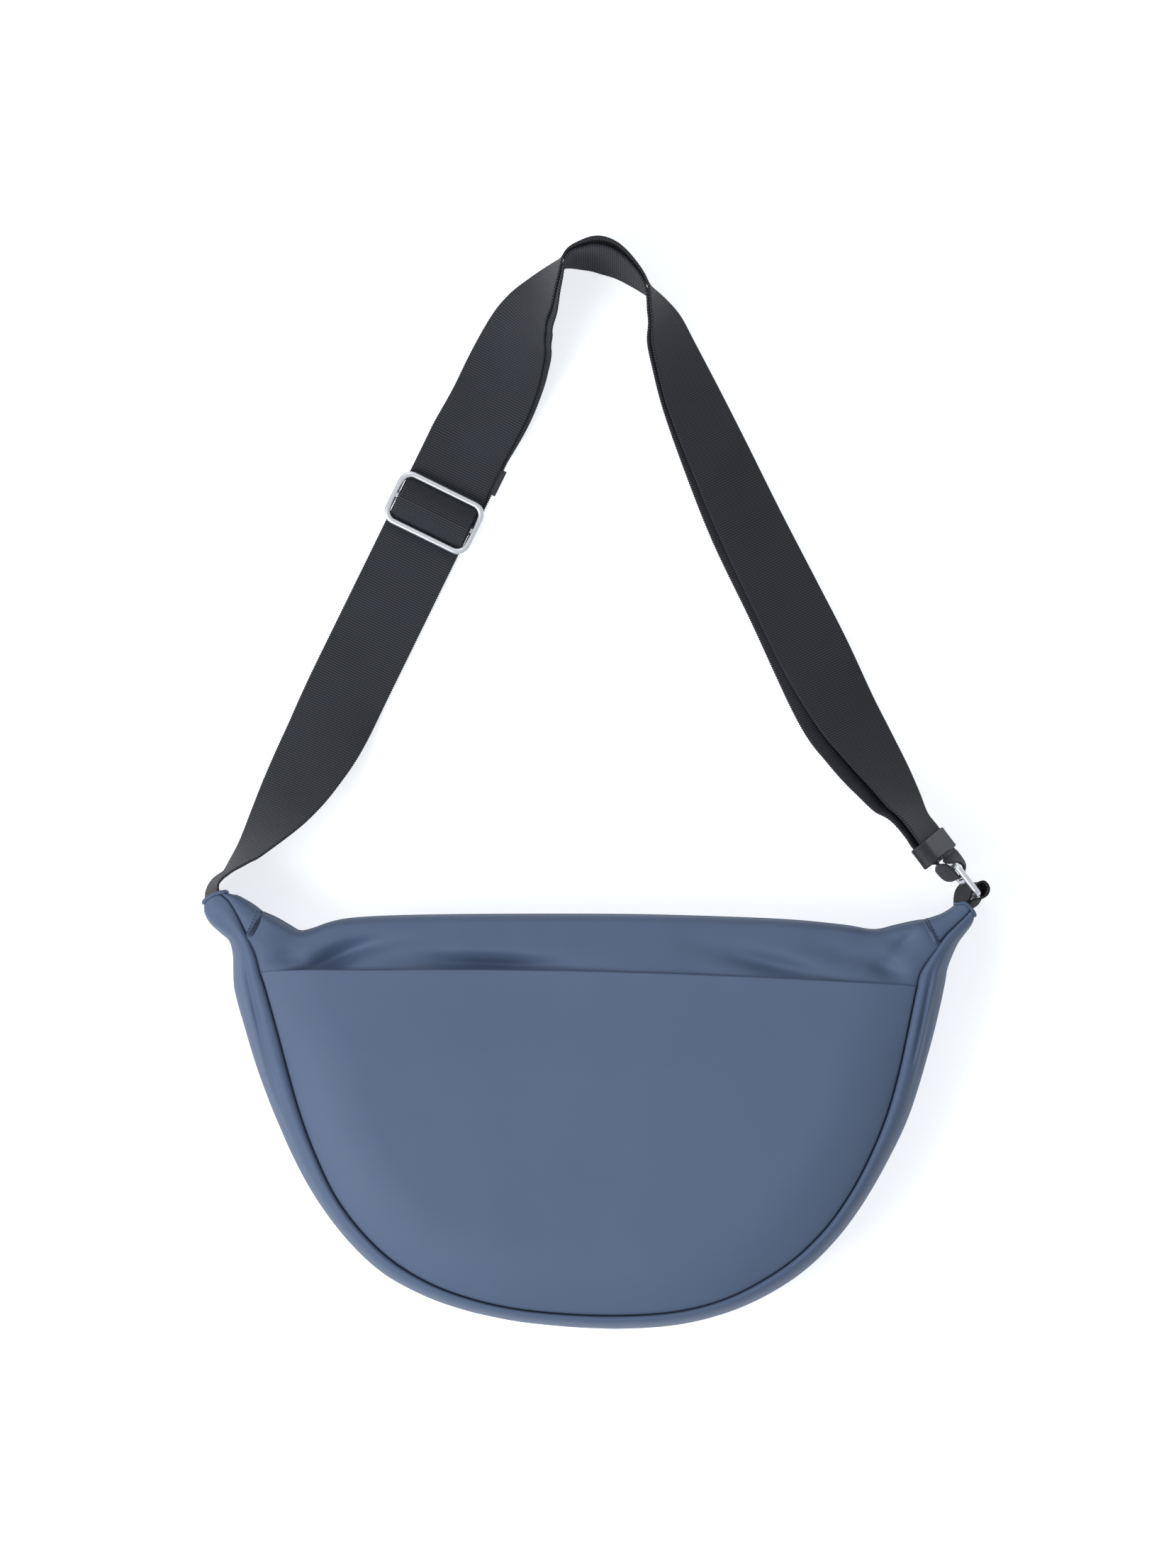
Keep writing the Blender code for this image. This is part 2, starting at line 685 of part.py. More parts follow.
def make_gusset(shop):
    """The strip between the front and back seams, with its allowances turned inwards."""
    back_z = FABRIC_THICKNESS + SEAM_GAP
    middle, half = (FRONT_SEAM_Z + back_z) / 2, (FRONT_SEAM_Z - back_z) / 2
    rows = []
    for index, point in enumerate(SEAM_LINE):
        share = (point.y - SEAM_BOTTOM) / SEAM_HEIGHT
        bulge = gusset_bulge(min(share, 1.0))
        out = seam_outward(index)
        seam = Vector((point.x, point.y, 0.0))
        row = [seam - out * SEAM_ALLOWANCE + UP * FRONT_SEAM_Z]
        for column in range(GUSSET_COLUMNS):
            turn = pi * column / (GUSSET_COLUMNS - 1)
            row.append(seam + out * bulge * sin(turn) + UP * (middle + half * cos(turn)))
        row.append(seam - out * SEAM_ALLOWANCE + UP * back_z)
        rows.append(row)
    mesh = loft_mesh("gusset", rows)
    thicken(shop.add("gusset", trim_ends(mesh), "gusset_fabric"), FABRIC_THICKNESS, -1.0)


def back_outline():
    """The flat back panel's outline, closed by the top edge."""
    inside = [point for point in SEAM_LINE if point.y <= SEAM_BOTTOM + SEAM_HEIGHT]
    columns = range(PANEL_COLUMNS, -1, -1)
    top = [Vector((TOP_HALF_WIDTH * spread_share(column), 0.0)) for column in columns]
    for point in top:
        point.y = top_edge(point.x) - BACK_LIP_DROP
    for point in top[:1] + top[-1:]:
        point.x *= 1 - TRIM_GAP / TOP_HALF_WIDTH
    return inside + top


def make_back_panel(shop):
    mesh = extruded_outline("back_panel", back_outline(), FABRIC_THICKNESS)
    mesh.transform(Matrix.Translation(UP * FABRIC_THICKNESS / 2))
    shop.add("back_panel", trim_solid_ends(mesh), "panel_fabric")


def trim_solid_ends(mesh):
    """Cuts a closed solid at both end caps' seams and fills the cuts."""
    shape = bmesh.new()
    shape.from_mesh(mesh)
    for side in (-1, 1):
        top, down = cap_seam(side)
        outward = Vector((down.y, -down.x, 0.0)) * -side
        whole = list(shape.verts) + list(shape.edges) + list(shape.faces)
        cut = bmesh.ops.bisect_plane(
            shape,
            geom=whole,
            plane_co=top - outward * TRIM_GAP,
            plane_no=outward,
            clear_outer=True,
        )
        edges = [item for item in cut["geom_cut"] if isinstance(item, bmesh.types.BMEdge)]
        bmesh.ops.contextual_create(shape, geom=edges)
    bmesh.ops.recalc_face_normals(shape, faces=shape.faces)
    shape.to_mesh(mesh)
    shape.free()
    return mesh


def make_back_strip(shop):
    """The strip from the back panel's top edge round to the zip's lower tape."""
    lap_z = tape_z(-1) + TAPE_LAP
    lap_y = ZIP_Y + SEAM_GAP + FABRIC_THICKNESS
    low_z = FABRIC_THICKNESS + SEAM_GAP
    steps = [(place, lap_z + (BACK_LIP_Z - lap_z) * fall) for place, fall in BACK_STRIP_SHARES]
    steps.append((0.0, (BACK_LIP_Z + low_z) / 2))
    sheet = []
    for column in range(PANEL_COLUMNS + 1):
        x = spread_share(column) * seam_x(TOP_EDGE)
        edge = top_edge(x) - BACK_LIP_DROP
        line = [(x, edge + (lap_y - edge) * place, z) for place, z in steps]
        line.append((x, edge - FABRIC_THICKNESS, low_z))
        line.append((x, edge - FABRIC_THICKNESS - SEAM_ALLOWANCE, low_z))
        sheet.append(line)
    mesh = loft_mesh("back_top_strip", sheet)
    mesh.flip_normals()
    thicken(shop.add("back_top_strip", trim_ends(mesh), "panel_fabric"), FABRIC_THICKNESS, -1.0)


# Zip


def make_tapes(shop):
    size = (2 * TAPE_HALF_LENGTH, TAPE_THICKNESS, TAPE_WIDTH)
    for name, side in (("zip_tape_front", 1), ("zip_tape_back", -1)):
        centre = Vector((0.0, ZIP_Y - TAPE_THICKNESS / 2, tape_z(side) - side * TAPE_WIDTH / 2))
        shop.add(name, box_mesh(name, size, centre), "black_tape")


def make_coils(shop):
    """Each row of teeth as one ribbed bar, flat where it faces the other."""
    for name, side in (("zip_coil_front", 1), ("zip_coil_back", -1)):
        z = ZIP_Z + side * (COIL_SPLIT + COIL_WIDTH) / 2
        size = (2 * COIL_HALF_LENGTH, COIL_HEIGHT, COIL_WIDTH)
        mesh = box_mesh(name, size, Vector((0.0, ZIP_Y - TAPE_THICKNESS / 2, z)))
        round_edges(shop.add(name, mesh, "black_coil"), COIL_WIDTH * 0.3)


def make_stops(shop):
    for name, side in (("zip_stop_left", -1), ("zip_stop_right", 1)):
        size = (STOP_LENGTH, STOP_HEIGHT, COIL_SPLIT + 2 * COIL_WIDTH)
        x = side * (COIL_HALF_LENGTH + SEAM_GAP + STOP_LENGTH / 2)
        mesh = box_mesh(name, size, Vector((x, ZIP_Y - TAPE_THICKNESS / 2, ZIP_Z)))
        round_edges(shop.add(name, mesh, "dark_steel"), STOP_LENGTH * 0.12)


def make_zip_slider(shop):
    """Two plates joined by a bridge between the coils, with a bail on the outer plate."""
    middle_y = ZIP_Y - TAPE_THICKNESS / 2
    stand_off = COIL_HEIGHT / 2 + SEAM_GAP + SLIDER_PLATE_THICKNESS / 2
    pivot_y = middle_y + stand_off + SLIDER_PLATE_THICKNESS / 2 + PULL_BAR / 2 + BAR_GAP
    start = Vector((ZIP_START, pivot_y, ZIP_Z))
    carriage = shop.pivot("zip_slider_axis", start)
    plate_size = (SLIDER_PLATE_LENGTH, SLIDER_PLATE_THICKNESS, SLIDER_PLATE_WIDTH)
    outer = box_mesh("zip_slider", plate_size, Vector((ZIP_START, middle_y + stand_off, ZIP_Z)))
    slider = ride(shop.add("zip_slider", outer, "dark_steel"), carriage)
    inner = box_mesh("slider_inner_plate", plate_size, Vector((ZIP_START, middle_y - stand_off, ZIP_Z)))
    bridge_size = (SLIDER_BRIDGE_LENGTH, 2 * stand_off, SLIDER_BRIDGE_THICKNESS)
    bridge = box_mesh("slider_bridge", bridge_size, Vector((ZIP_START, middle_y, ZIP_Z)))
    foot = pivot_y - middle_y - stand_off - SINK / 2
    path = [start + Vector((-BAIL_RADIUS, -foot, 0.0))]
    for step in range(2 * ARC_STEPS + 1):
        turn = pi * step / (2 * ARC_STEPS)
        path.append(start + Vector((-BAIL_RADIUS * cos(turn), BAIL_RADIUS * sin(turn), 0.0)))
    path.append(start + Vector((BAIL_RADIUS, -foot, 0.0)))
    bail = wire_mesh("slider_bail", path, BAIL_WIRE / 2, False, 2)
    for name, mesh in (("slider_inner_plate", inner), ("slider_bridge", bridge), ("slider_bail", bail)):
        boolean(slider, ride(shop.add_cutter(name, mesh), carriage), "UNION")
    return start


def make_zip_pull(shop, axis):
    """A flat tab with a slot for the bail and a bar that turns under it."""
    pivot = shop.pivot("zip_pull_axis", axis)
    half = PULL_BAR / 2
    size = (PULL_LENGTH + half, PULL_THICKNESS, PULL_WIDTH)
    mesh = box_mesh("zip_pull", size, axis + Vector(((PULL_LENGTH - half) / 2, 0.0, 0.0)))
    pull = ride(shop.add("zip_pull", mesh, "dark_steel"), pivot)
    slot_start = half
    slot_end = BAIL_RADIUS + BAIL_WIRE / 2 + 2 * BAR_GAP
    slot_size = (slot_end - slot_start, PULL_THICKNESS + 2 * SINK, PULL_SLOT_WIDTH)
    slot = box_mesh("pull_slot", slot_size, axis + Vector(((slot_start + slot_end) / 2, 0.0, 0.0)))
    boolean(pull, ride(shop.add_cutter("pull_slot", slot), pivot), "DIFFERENCE")
    round_edges(pull, PULL_THICKNESS * 0.25)


# Inside


LINING_BACK_Z = FABRIC_THICKNESS + SEAM_GAP


def lining_section(y, half_width, low_z, high_z):
    """A rounded loop in the plane of one y."""
    corner = min(half_width, (high_z - low_z) / 2) * LINING_ROUND_SHARE
    loop = []
    for x_side, z_side, first in ((1, 1, 0), (-1, 1, 90), (-1, -1, 180), (1, -1, 270)):
        z = (low_z if z_side < 0 else high_z) - z_side * corner
        middle = Vector((x_side * (half_width - corner), y, z))
        for step in range(4):
            turn = radians(first + 30 * step)
            loop.append(middle + Vector((cos(turn), 0.0, sin(turn))) * corner)
    return loop


def make_lining(shop):
    """A soft pouch inside the body, open at the zip."""
    low, high = LINING_BACK_Z, LINING_FRONT_Z
    levels = [point for point in SEAM_HALF[4::2] if point.y < POCKET_EDGE_Y]
    corner = LINING_INSET * LINING_CORNER_SHARE
    first = levels[0]
    rows = [lining_section(first.y, first.x - LINING_INSET - corner, low + corner, high - corner)]
    for point in levels:
        rows.append(lining_section(point.y + LINING_INSET, point.x - LINING_INSET, low, high))
    mouth = LINING_MOUTH_HALF_HEIGHT
    mouth_y = ZIP_Y - TAPE_THICKNESS - SEAM_GAP
    rows.append(lining_section(mouth_y, LINING_MOUTH_HALF_WIDTH, ZIP_Z - mouth, ZIP_Z + mouth))
    mesh = loft_mesh("lining", rows, closed=True)
    shape = bmesh.new()
    shape.from_mesh(mesh)
    shape.verts.ensure_lookup_table()
    bmesh.ops.contextual_create(shape, geom=shape.verts[: len(rows[0])])
    bmesh.ops.recalc_face_normals(shape, faces=shape.faces)
    shape.to_mesh(mesh)
    shape.free()
    thicken(shop.add("lining", mesh, "lining_fabric"), LINING_THICKNESS, -1.0)


def make_inner_pocket(shop):
    z = LINING_BACK_Z + LINING_THICKNESS + SEAM_GAP + INNER_POCKET_THICKNESS / 2
    size = (INNER_POCKET_WIDTH, INNER_POCKET_HEIGHT, INNER_POCKET_THICKNESS)
    mesh = box_mesh("inner_pocket", size, Vector((0.0, INNER_POCKET_Y, z)))
    round_edges(shop.add("inner_pocket", mesh, "lining_fabric"), INNER_POCKET_THICKNESS * 0.3)


# End caps


def tip_frame(side):
    """A tip's centre, its way out and its direction from the zip side to the outer side."""
    if side < 0:
        centre = Vector((*LEFT_TIP, 0.0))
        out = heading(LEFT_TIP_TURN)
        return centre, out, -across(out)
    out = heading(RIGHT_TIP_TURN)
    return ring_bar(1) - out * TAB_REACH, out, across(out)


def cap_loop(centre, direction, depth, low_z, high_z, shares):
    return [
        centre + direction * depth * along + UP * (low_z + (high_z - low_z) * height)
        for along, height in shares
    ]


def make_end_cap(shop, name, side):
    """A sleeve from the body's end to the slot that the webbing leaves by."""
    top, down = cap_seam(side)
    outward = Vector((down.y, -down.x, 0.0)) * -side
    tip, out, over = tip_frame(side)
    start = cap_loop(top, down, CAP_DEPTH, 0.0, CAP_TOP_Z, CAP_SEAM_SHARES)
    low, high = TIP_WEBBING_Z - TIP_HALF_HEIGHT, TIP_WEBBING_Z + TIP_HALF_HEIGHT
    end = cap_loop(tip - over * TIP_SLOT / 2, over, TIP_SLOT, low, high, CAP_TIP_SHARES)
    reach = (tip - top).length * 0.5
    rows = []
    for section in range(CAP_SECTIONS + 1):
        t = section / CAP_SECTIONS
        a, b = 2 * t**3 - 3 * t**2 + 1, 3 * t**2 - 2 * t**3
        c, d = t**3 - 2 * t**2 + t, t**3 - t**2
        rows.append(
            [p * a + q * b + outward * reach * c + out * reach * d for p, q in zip(start, end)]
        )
    mesh = loft_mesh(name, rows, closed=True)
    if side < 0:
        mesh.flip_normals()
    thicken(shop.add(name, mesh, "cap_fabric"), CAP_THICKNESS, -1.0)


# Strap


def ribbon(shop, name, stations, breadth=WEBBING_WIDTH):
    """Flat webbing through stations of a centre and a width direction."""
    half = breadth / 2
    rows = [[centre - width * half, centre, centre + width * half] for centre, width in stations]
    obj = shop.add(name, loft_mesh(name, rows), "black_webbing")
    return thicken(obj, WEBBING_THICKNESS, 0.0)


def strap_place(shares):
    """X and Y of a place given as shares of the strap's half span and rise."""
    return shares[0] * STRAP_HALF_SPAN, STRAP_BASE_Y + shares[1] * STRAP_RISE


LAYER_STEP = WEBBING_THICKNESS + LAYER_GAP
OUTER_Z = WEBBING_THICKNESS / 2 + LAYER_STEP


def straight_place(share):
    """X and Y of the strap's outer edge along its straight stretch."""
    low = Vector(strap_place(STRAIGHT_START_SHARES))
    high = Vector(strap_place(STRAIGHT_END_SHARES))
    return low.lerp(high, share)


def on_edge_lift(tilt):
    """Height of the webbing's lower edge where its middle is level with the tips."""
    return TIP_WEBBING_Z - WEBBING_WIDTH / 2 * sin(radians(tilt))


def left_root_rows():
    """Rows of x, y, tilt, lift, layer gap, peek and lean, from inside the left tip to the table."""
    tip, out, over = tip_frame(-1)
    beside = TIP_SLOT / 2 - CAP_THICKNESS - LEFT_ROOT_GAP - WEBBING_THICKNESS / 2
    exit_place = tip - over * beside
    rows = []
    for travel in (-LEFT_ROOT_DEPTH, 0.0, LEFT_ROOT_EXIT):
        place = exit_place + out * travel
        rows.append((place.x, place.y, 90.0, on_edge_lift(90.0), 0.0, 0.0, 0.0))
    count = len(LEFT_ROOT_SHARES)
    for index, (x_share, y_share, tilt) in enumerate(LEFT_ROOT_SHARES):
        x, y = strap_place((x_share, y_share))
        lift = ease(on_edge_lift(90.0), OUTER_Z, (index + 1) / (count - 2))
        rows.append((x, y, tilt, lift, 0.0, 0.0, 0.0))
    return rows


def straight_rows():
    peek = INNER_PEEK * STRAIGHT_PEEK_SHARE
    return [(*straight_place(share), 0.0, OUTER_Z, 0.0, peek, 0.0) for share in STRAIGHT_STOPS_SHARES]


def arch_rows():
    rows = []
    table = zip(ARCH_SHARES, ARCH_GAP_SHARES, INNER_PEEK_SHARES, LOW_REACH_SHARES)
    for (x_share, y_share, tilt), gap, peek, reach in table:
        place = strap_place((x_share, y_share))
        rows.append((*place, tilt, OUTER_Z, ARCH_GAP * gap, INNER_PEEK * peek, LOW_REACH * reach))
    return rows


def keeper_rows():
    """The straight stretch through the keeper."""
    along = heading(KEEPER_TURN)
    inward = across(along)
    edge = Vector((*KEEPER_CENTRE, 0.0)) - inward * WEBBING_WIDTH / 2 * cos(radians(KEEPER_TILT))
    lift = on_edge_lift(KEEPER_TILT)
    low = KEEPER_LENGTH / 2 + KEEPER_RUN
    rows = []
    for travel in (-low - KEEPER_LEAD, -low, KEEPER_LENGTH / 2, low):
        place = edge + along * travel
        rows.append((place.x, place.y, KEEPER_TILT, lift, KEEPER_SLACK, 0.0, 0.0))
    return rows


def tilted(direction, tilt):
    """The direction across webbing that runs this way, tilted up from the inner side."""
    return across(direction) * cos(radians(tilt)) + UP * sin(radians(tilt))


def layer_station(row, direction, layer):
    """Centre and width direction of the outer layer, 0, or the inner one, 1."""
    x, y, tilt, lift, gap, peek, reach = row
    width = tilted(direction, tilt)
    centre = Vector((x, y, lift)) + width * WEBBING_WIDTH / 2
    if layer == 0:
        return leant(centre, width, reach * OUTER_REACH_SHARE)
    outer_face = tilted(direction, tilt + 90)
    return leant(centre - outer_face * (LAYER_STEP + gap) + width * peek, width, reach)


def leant(centre, width, reach):
    """The same station with its low edge this far in and its top edge over the same place."""
    if reach <= 0:
        return centre, width
    low = centre - width * WEBBING_WIDTH / 2
    flat = Vector((width.x * WEBBING_WIDTH, width.y * WEBBING_WIDTH + reach, 0.0))
    rise = sqrt(WEBBING_WIDTH**2 - flat.length_squared)
    leaning = (flat + UP * rise) / WEBBING_WIDTH
    low = low - Vector((0.0, reach, 0.0))
    return low + leaning * WEBBING_WIDTH / 2, leaning


def run_stations(rows, layer):
    """Stations of one layer along a smooth line through rows."""
    line = spline(rows, STEPS_PER_SPAN)
    stations = []
    for index, row in enumerate(line):
        before, after = line[max(index - 1, 0)], line[min(index + 1, len(line) - 1)]
        direction = Vector((after[0] - before[0], after[1] - before[1], 0.0)).normalized()
        stations.append(layer_station(row, direction, layer))
    return stations


def shortened(stations, length, at_start):
    """Stations with a short length taken off one end."""
    if at_start:
        return shortened(stations[::-1], length, False)[::-1]
    (centre_a, width_a), (centre_b, width_b) = stations[-2:]
    span = (centre_b - centre_a).length
    if span <= length:
        return shortened(stations[:-1], length - span, False)
    share = 1 - length / span
    last = (centre_a.lerp(centre_b, share), width_a.lerp(width_b, share).normalized())
    return [*stations[:-1], last]


# Ring, tab and keeper


def ring_direction():
    """The level direction from the ring's strap bar to its tab bar."""
    return heading(RING_TURN)


def ring_bar(place):
    """A bar's centre on the ring: -1 holds the strap, 0 is the middle bar, 1 holds the tab."""
    middle = Vector((*RING_TOP_CORNER, 0.0)) + ring_direction() * RING_WIDTH / 2
    return middle + ring_direction() * place * (RING_WIDTH - RING_WIRE) / 2


def rounded_loop(length, width, corner, wire):
    """A wire frame's centre line in its own plane, with round corners."""
    half_l, half_w, radius = (length - wire) / 2, (width - wire) / 2, corner - wire / 2
    loop = []
    for x_side, y_side, first in ((1, 1, 0), (-1, 1, 90), (-1, -1, 180), (1, -1, 270)):
        for step in range(ARC_STEPS):
            turn = radians(first + 90 * step / (ARC_STEPS - 1))
            x = x_side * (half_l - radius) + radius * cos(turn)
            y = y_side * (half_w - radius) + radius * sin(turn)
            loop.append(Vector((x, y, 0.0)))
    return loop


def make_frame(shop, name, size, bars, pivot, placed):
    """A rounded wire frame with straight bars along its length."""
    length, width, wire, corner = size
    mesh = wire_mesh(name, rounded_loop(length, width, corner, wire), wire / 2, True, 3)
    mesh.transform(placed)
    frame = ride(shop.add(name, mesh, "satin_steel"), pivot)
    half = (length - wire) / 2
    for index, height in enumerate(bars):
        ends = [Vector((-half, height, 0.0)), Vector((half, height, 0.0))]
        bar = wire_mesh(f"{name}_bar", ends, wire / 2, False, 3)
        bar.transform(placed)
        boolean(frame, ride(shop.add_cutter(f"{name}_bar_{index}", bar), pivot), "UNION")
    return frame


def end_width():
    """The direction across the webbing at the right end, which leans with the ring."""
    return tilted(ring_direction(), END_TILT)


def make_ring(shop):
    along, width = ring_direction(), end_width()
    turn = Matrix((width, along, width.cross(along))).transposed().to_4x4()
    placed = Matrix.Translation(ring_bar(0) + UP * TIP_WEBBING_Z) @ turn
    pivot = shop.pivot("ring_axis", ring_bar(1) + UP * TIP_WEBBING_Z)
    size = (RING_LENGTH, RING_WIDTH, RING_WIRE, RING_CORNER)
    make_frame(shop, "end_ring", size, (0.0,), pivot, placed)


def arc_points(centre, start, end, radius, steps):
    """Points of a level arc between two headings in degrees."""
    return [
        centre + heading(start + (end - start) * step / steps) * radius for step in range(steps + 1)
    ]


def make_tab(shop):
    """A webbing loop sewn into the right tip, slack round the ring's lower bar."""
    tip, out, over = tip_frame(1)
    radius = RING_WIRE / 2 + TAB_CLEARANCE + WEBBING_THICKNESS / 2
    far = ring_bar(1) + out * TAB_SLACK
    back = tip - out * TAB_DEPTH
    turn = RIGHT_TIP_TURN
    path = [back - over * radius, tip - over * radius]
    path += arc_points(far, turn + 90, turn - 90, radius, 2 * ARC_STEPS)
    path += [tip + over * radius, back + over * radius]
    ribbon(shop, "ring_tab", [(point + UP * TIP_WEBBING_Z, UP) for point in path])


def make_keeper(shop):
    """A leather sleeve round both layers."""
    along = heading(KEEPER_TURN)
    width, face = tilted(along, KEEPER_TILT), tilted(along, KEEPER_TILT + 90)
    stack = WEBBING_THICKNESS + LAYER_STEP + KEEPER_SLACK
    middle = Vector((*KEEPER_CENTRE, TIP_WEBBING_Z)) - face * (LAYER_STEP + KEEPER_SLACK) / 2
    placed = Matrix.Translation(middle) @ Matrix((along, width, -face)).transposed().to_4x4()
    outer_size = (
        KEEPER_LENGTH,
        WEBBING_WIDTH + 2 * (LAYER_GAP + KEEPER_WALL),
        stack + 2 * (LAYER_GAP + KEEPER_WALL),
    )
    inner_size = (KEEPER_LENGTH + 2 * SINK, WEBBING_WIDTH + 2 * LAYER_GAP, stack + 2 * LAYER_GAP)
    pivot = shop.pivot("keeper_axis", middle)
    outer = box_mesh("strap_keeper", outer_size, Vector())
    outer.transform(placed)
    keeper = ride(shop.add("strap_keeper", outer, "black_leather"), pivot)
    round_edges(keeper, KEEPER_WALL * 0.3)
    inner = box_mesh("keeper_opening", inner_size, Vector())
    inner.transform(placed)
    boolean(keeper, ride(shop.add_cutter("keeper_opening", inner), pivot), "DIFFERENCE")


def bar_turn_stations():
    """The webbing's turn round the ring's upper bar, from its outer to its inner side."""
    slack = RING_LOOP_RADIUS - RING_WIRE / 2 - LAYER_GAP - WEBBING_THICKNESS / 2
    middle = ring_bar(-1) - ring_direction() * slack + UP * TIP_WEBBING_Z
    turn = RING_TURN
    points = arc_points(middle, turn + 90, turn - 90, RING_LOOP_RADIUS, 2 * ARC_STEPS)
    return [(point, end_width()) for point in points]


def slider_stations(centre, along, places):
    """Stations of webbing that crosses the slider, from places along the strap and above it."""
    return [(centre + along * place + UP * height, across(along)) for place, height in places]


def make_slider(shop, swing):
    """The slider, the strap's end sewn round its centre bar and the outer layer's rise over that."""
    along = (straight_place(1.0) - straight_place(0.0)).normalized().to_3d()
    inward = across(along)
    turn_radius = SLIDER_WIRE / 2 + BAR_GAP + WEBBING_THICKNESS / 2
    bar_z = OUTER_Z + WEBBING_THICKNESS + BAR_GAP + turn_radius
    centre = straight_place(SLIDER_PLACE_SHARE).to_3d() + inward * WEBBING_WIDTH / 2 + UP * bar_z
    pivot = ride(shop.pivot("strap_slider_axis", centre), swing)
    placed = Matrix.Translation(centre) @ Matrix((inward, along, UP)).transposed().to_4x4()
    size = (SLIDER_LENGTH, SLIDER_WIDTH, SLIDER_WIRE, SLIDER_CORNER)
    make_frame(shop, "slider_frame", size, (0.0,), pivot, placed)
    turns = [
        radians(WRAP_HALF_OPENING + (360 - 2 * WRAP_HALF_OPENING) * step / (3 * ARC_STEPS))
        for step in range(3 * ARC_STEPS + 1)
    ]
    wrap = [(turn_radius * cos(turn), turn_radius * sin(turn)) for turn in turns]
    ride(ribbon(shop, "strap_end_wrap", slider_stations(centre, along, wrap)), pivot)
    reach = SLIDER_WIDTH / 2 - HUMP_END_INSET
    crest = turn_radius + WEBBING_THICKNESS + BAR_GAP
    rise = [
        (reach * place, (crest + turn_radius) * height - turn_radius)
        for place, height in spline(HUMP_SHARES, 2)
    ]
    hump = rise + [(-place, height) for place, height in reversed(rise[:-1])]
    breadth = WEBBING_WIDTH - 2 * HUMP_SQUEEZE
    ride(ribbon(shop, "strap_over_bar", slider_stations(centre, along, hump), breadth), pivot)
    make_strap_end(shop, placed, bar_z, pivot)


def return_setback():
    """How far past the straight stretch the return run starts, clear of the leather patch."""
    stretch = (straight_place(1.0) - straight_place(SLIDER_PLACE_SHARE)).length
    return TAIL_START + TAIL_LENGTH + END_GAP + PATCH_LENGTH + PATCH_GAP - stretch


def make_strap_end(shop, placed, bar_z, pivot):
    """The sewn tail under the outer layer and the leather patch over its end."""
    peek = INNER_PEEK * STRAIGHT_PEEK_SHARE
    z = WEBBING_THICKNESS / 2 - bar_z
    patch_start = TAIL_START + TAIL_LENGTH + END_GAP
    for name, breadth, start, length, finish in (
        ("strap_tail", WEBBING_WIDTH, TAIL_START, TAIL_LENGTH, "black_webbing"),
        ("strap_tip_patch", WEBBING_WIDTH + 2 * PATCH_PROUD, patch_start, PATCH_LENGTH, "black_leather"),
    ):
        size = (breadth, length, WEBBING_THICKNESS)
        mesh = box_mesh(name, size, Vector((peek, start + length / 2, z)))
        mesh.transform(placed)
        ride(shop.add(name, mesh, finish), pivot)


def make_strap(shop):
    swing = shop.pivot("strap_axis", Vector((0.0, SWING_Y, TIP_WEBBING_Z)))
    root, straight, arch, keeper = left_root_rows(), straight_rows(), arch_rows(), keeper_rows()
    rows = root + straight + arch + keeper
    first_arch = len(root) + len(straight)
    root_end = (len(root) - 1) * STEPS_PER_SPAN
    loop_start = (first_arch + RIGHT_ROOT_STATION) * STEPS_PER_SPAN
    return_end = (len(root) + 3) * STEPS_PER_SPAN
    outer, inner = run_stations(rows, 0), run_stations(rows, 1)
    ribbon(shop, "strap_root_left", outer[: root_end + 1])
    middle = shortened(outer[root_end : loop_start + 1], END_GAP, True)
    ride(ribbon(shop, "strap_outer_run", middle), swing)
    loop = shortened(outer[loop_start:], END_GAP, True)
    back = shortened(inner[loop_start:], END_GAP, True)
    ribbon(shop, "strap_ring_loop", loop + bar_turn_stations() + back[::-1])
    back_run = shortened(inner[return_end : loop_start + 1], return_setback(), True)
    ride(ribbon(shop, "strap_return_run", back_run), swing)
    make_slider(shop, swing)
    make_ring(shop)
    make_tab(shop)
    make_keeper(shop)


def make_part():
    clear_scene()
    shop = Workshop()
    make_back_panel(shop)
    make_gusset(shop)
    make_front_panel(shop)
    make_front_pocket(shop)
    make_pocket_hem(shop)
    make_back_strip(shop)
    make_tapes(shop)
    make_coils(shop)
    make_stops(shop)
    make_zip_pull(shop, make_zip_slider(shop))
    make_lining(shop)
    make_inner_pocket(shop)
    make_end_cap(shop, "end_cap_left", -1)
    make_end_cap(shop, "end_cap_right", 1)
    make_strap(shop)


make_part()
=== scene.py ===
"""The crescent sling bag, sewn and dressed for a picture from straight above.

The bag lies on its back. +X runs to the right, +Y from the rounded bottom to the zip, +Z up.
Tables are in millimetres and are turned into metres when a mesh is made.
"""

from contextlib import contextmanager
from math import cos, pi, radians, sin, sqrt

import bmesh
import bpy
import numpy as np
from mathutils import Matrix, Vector, noise


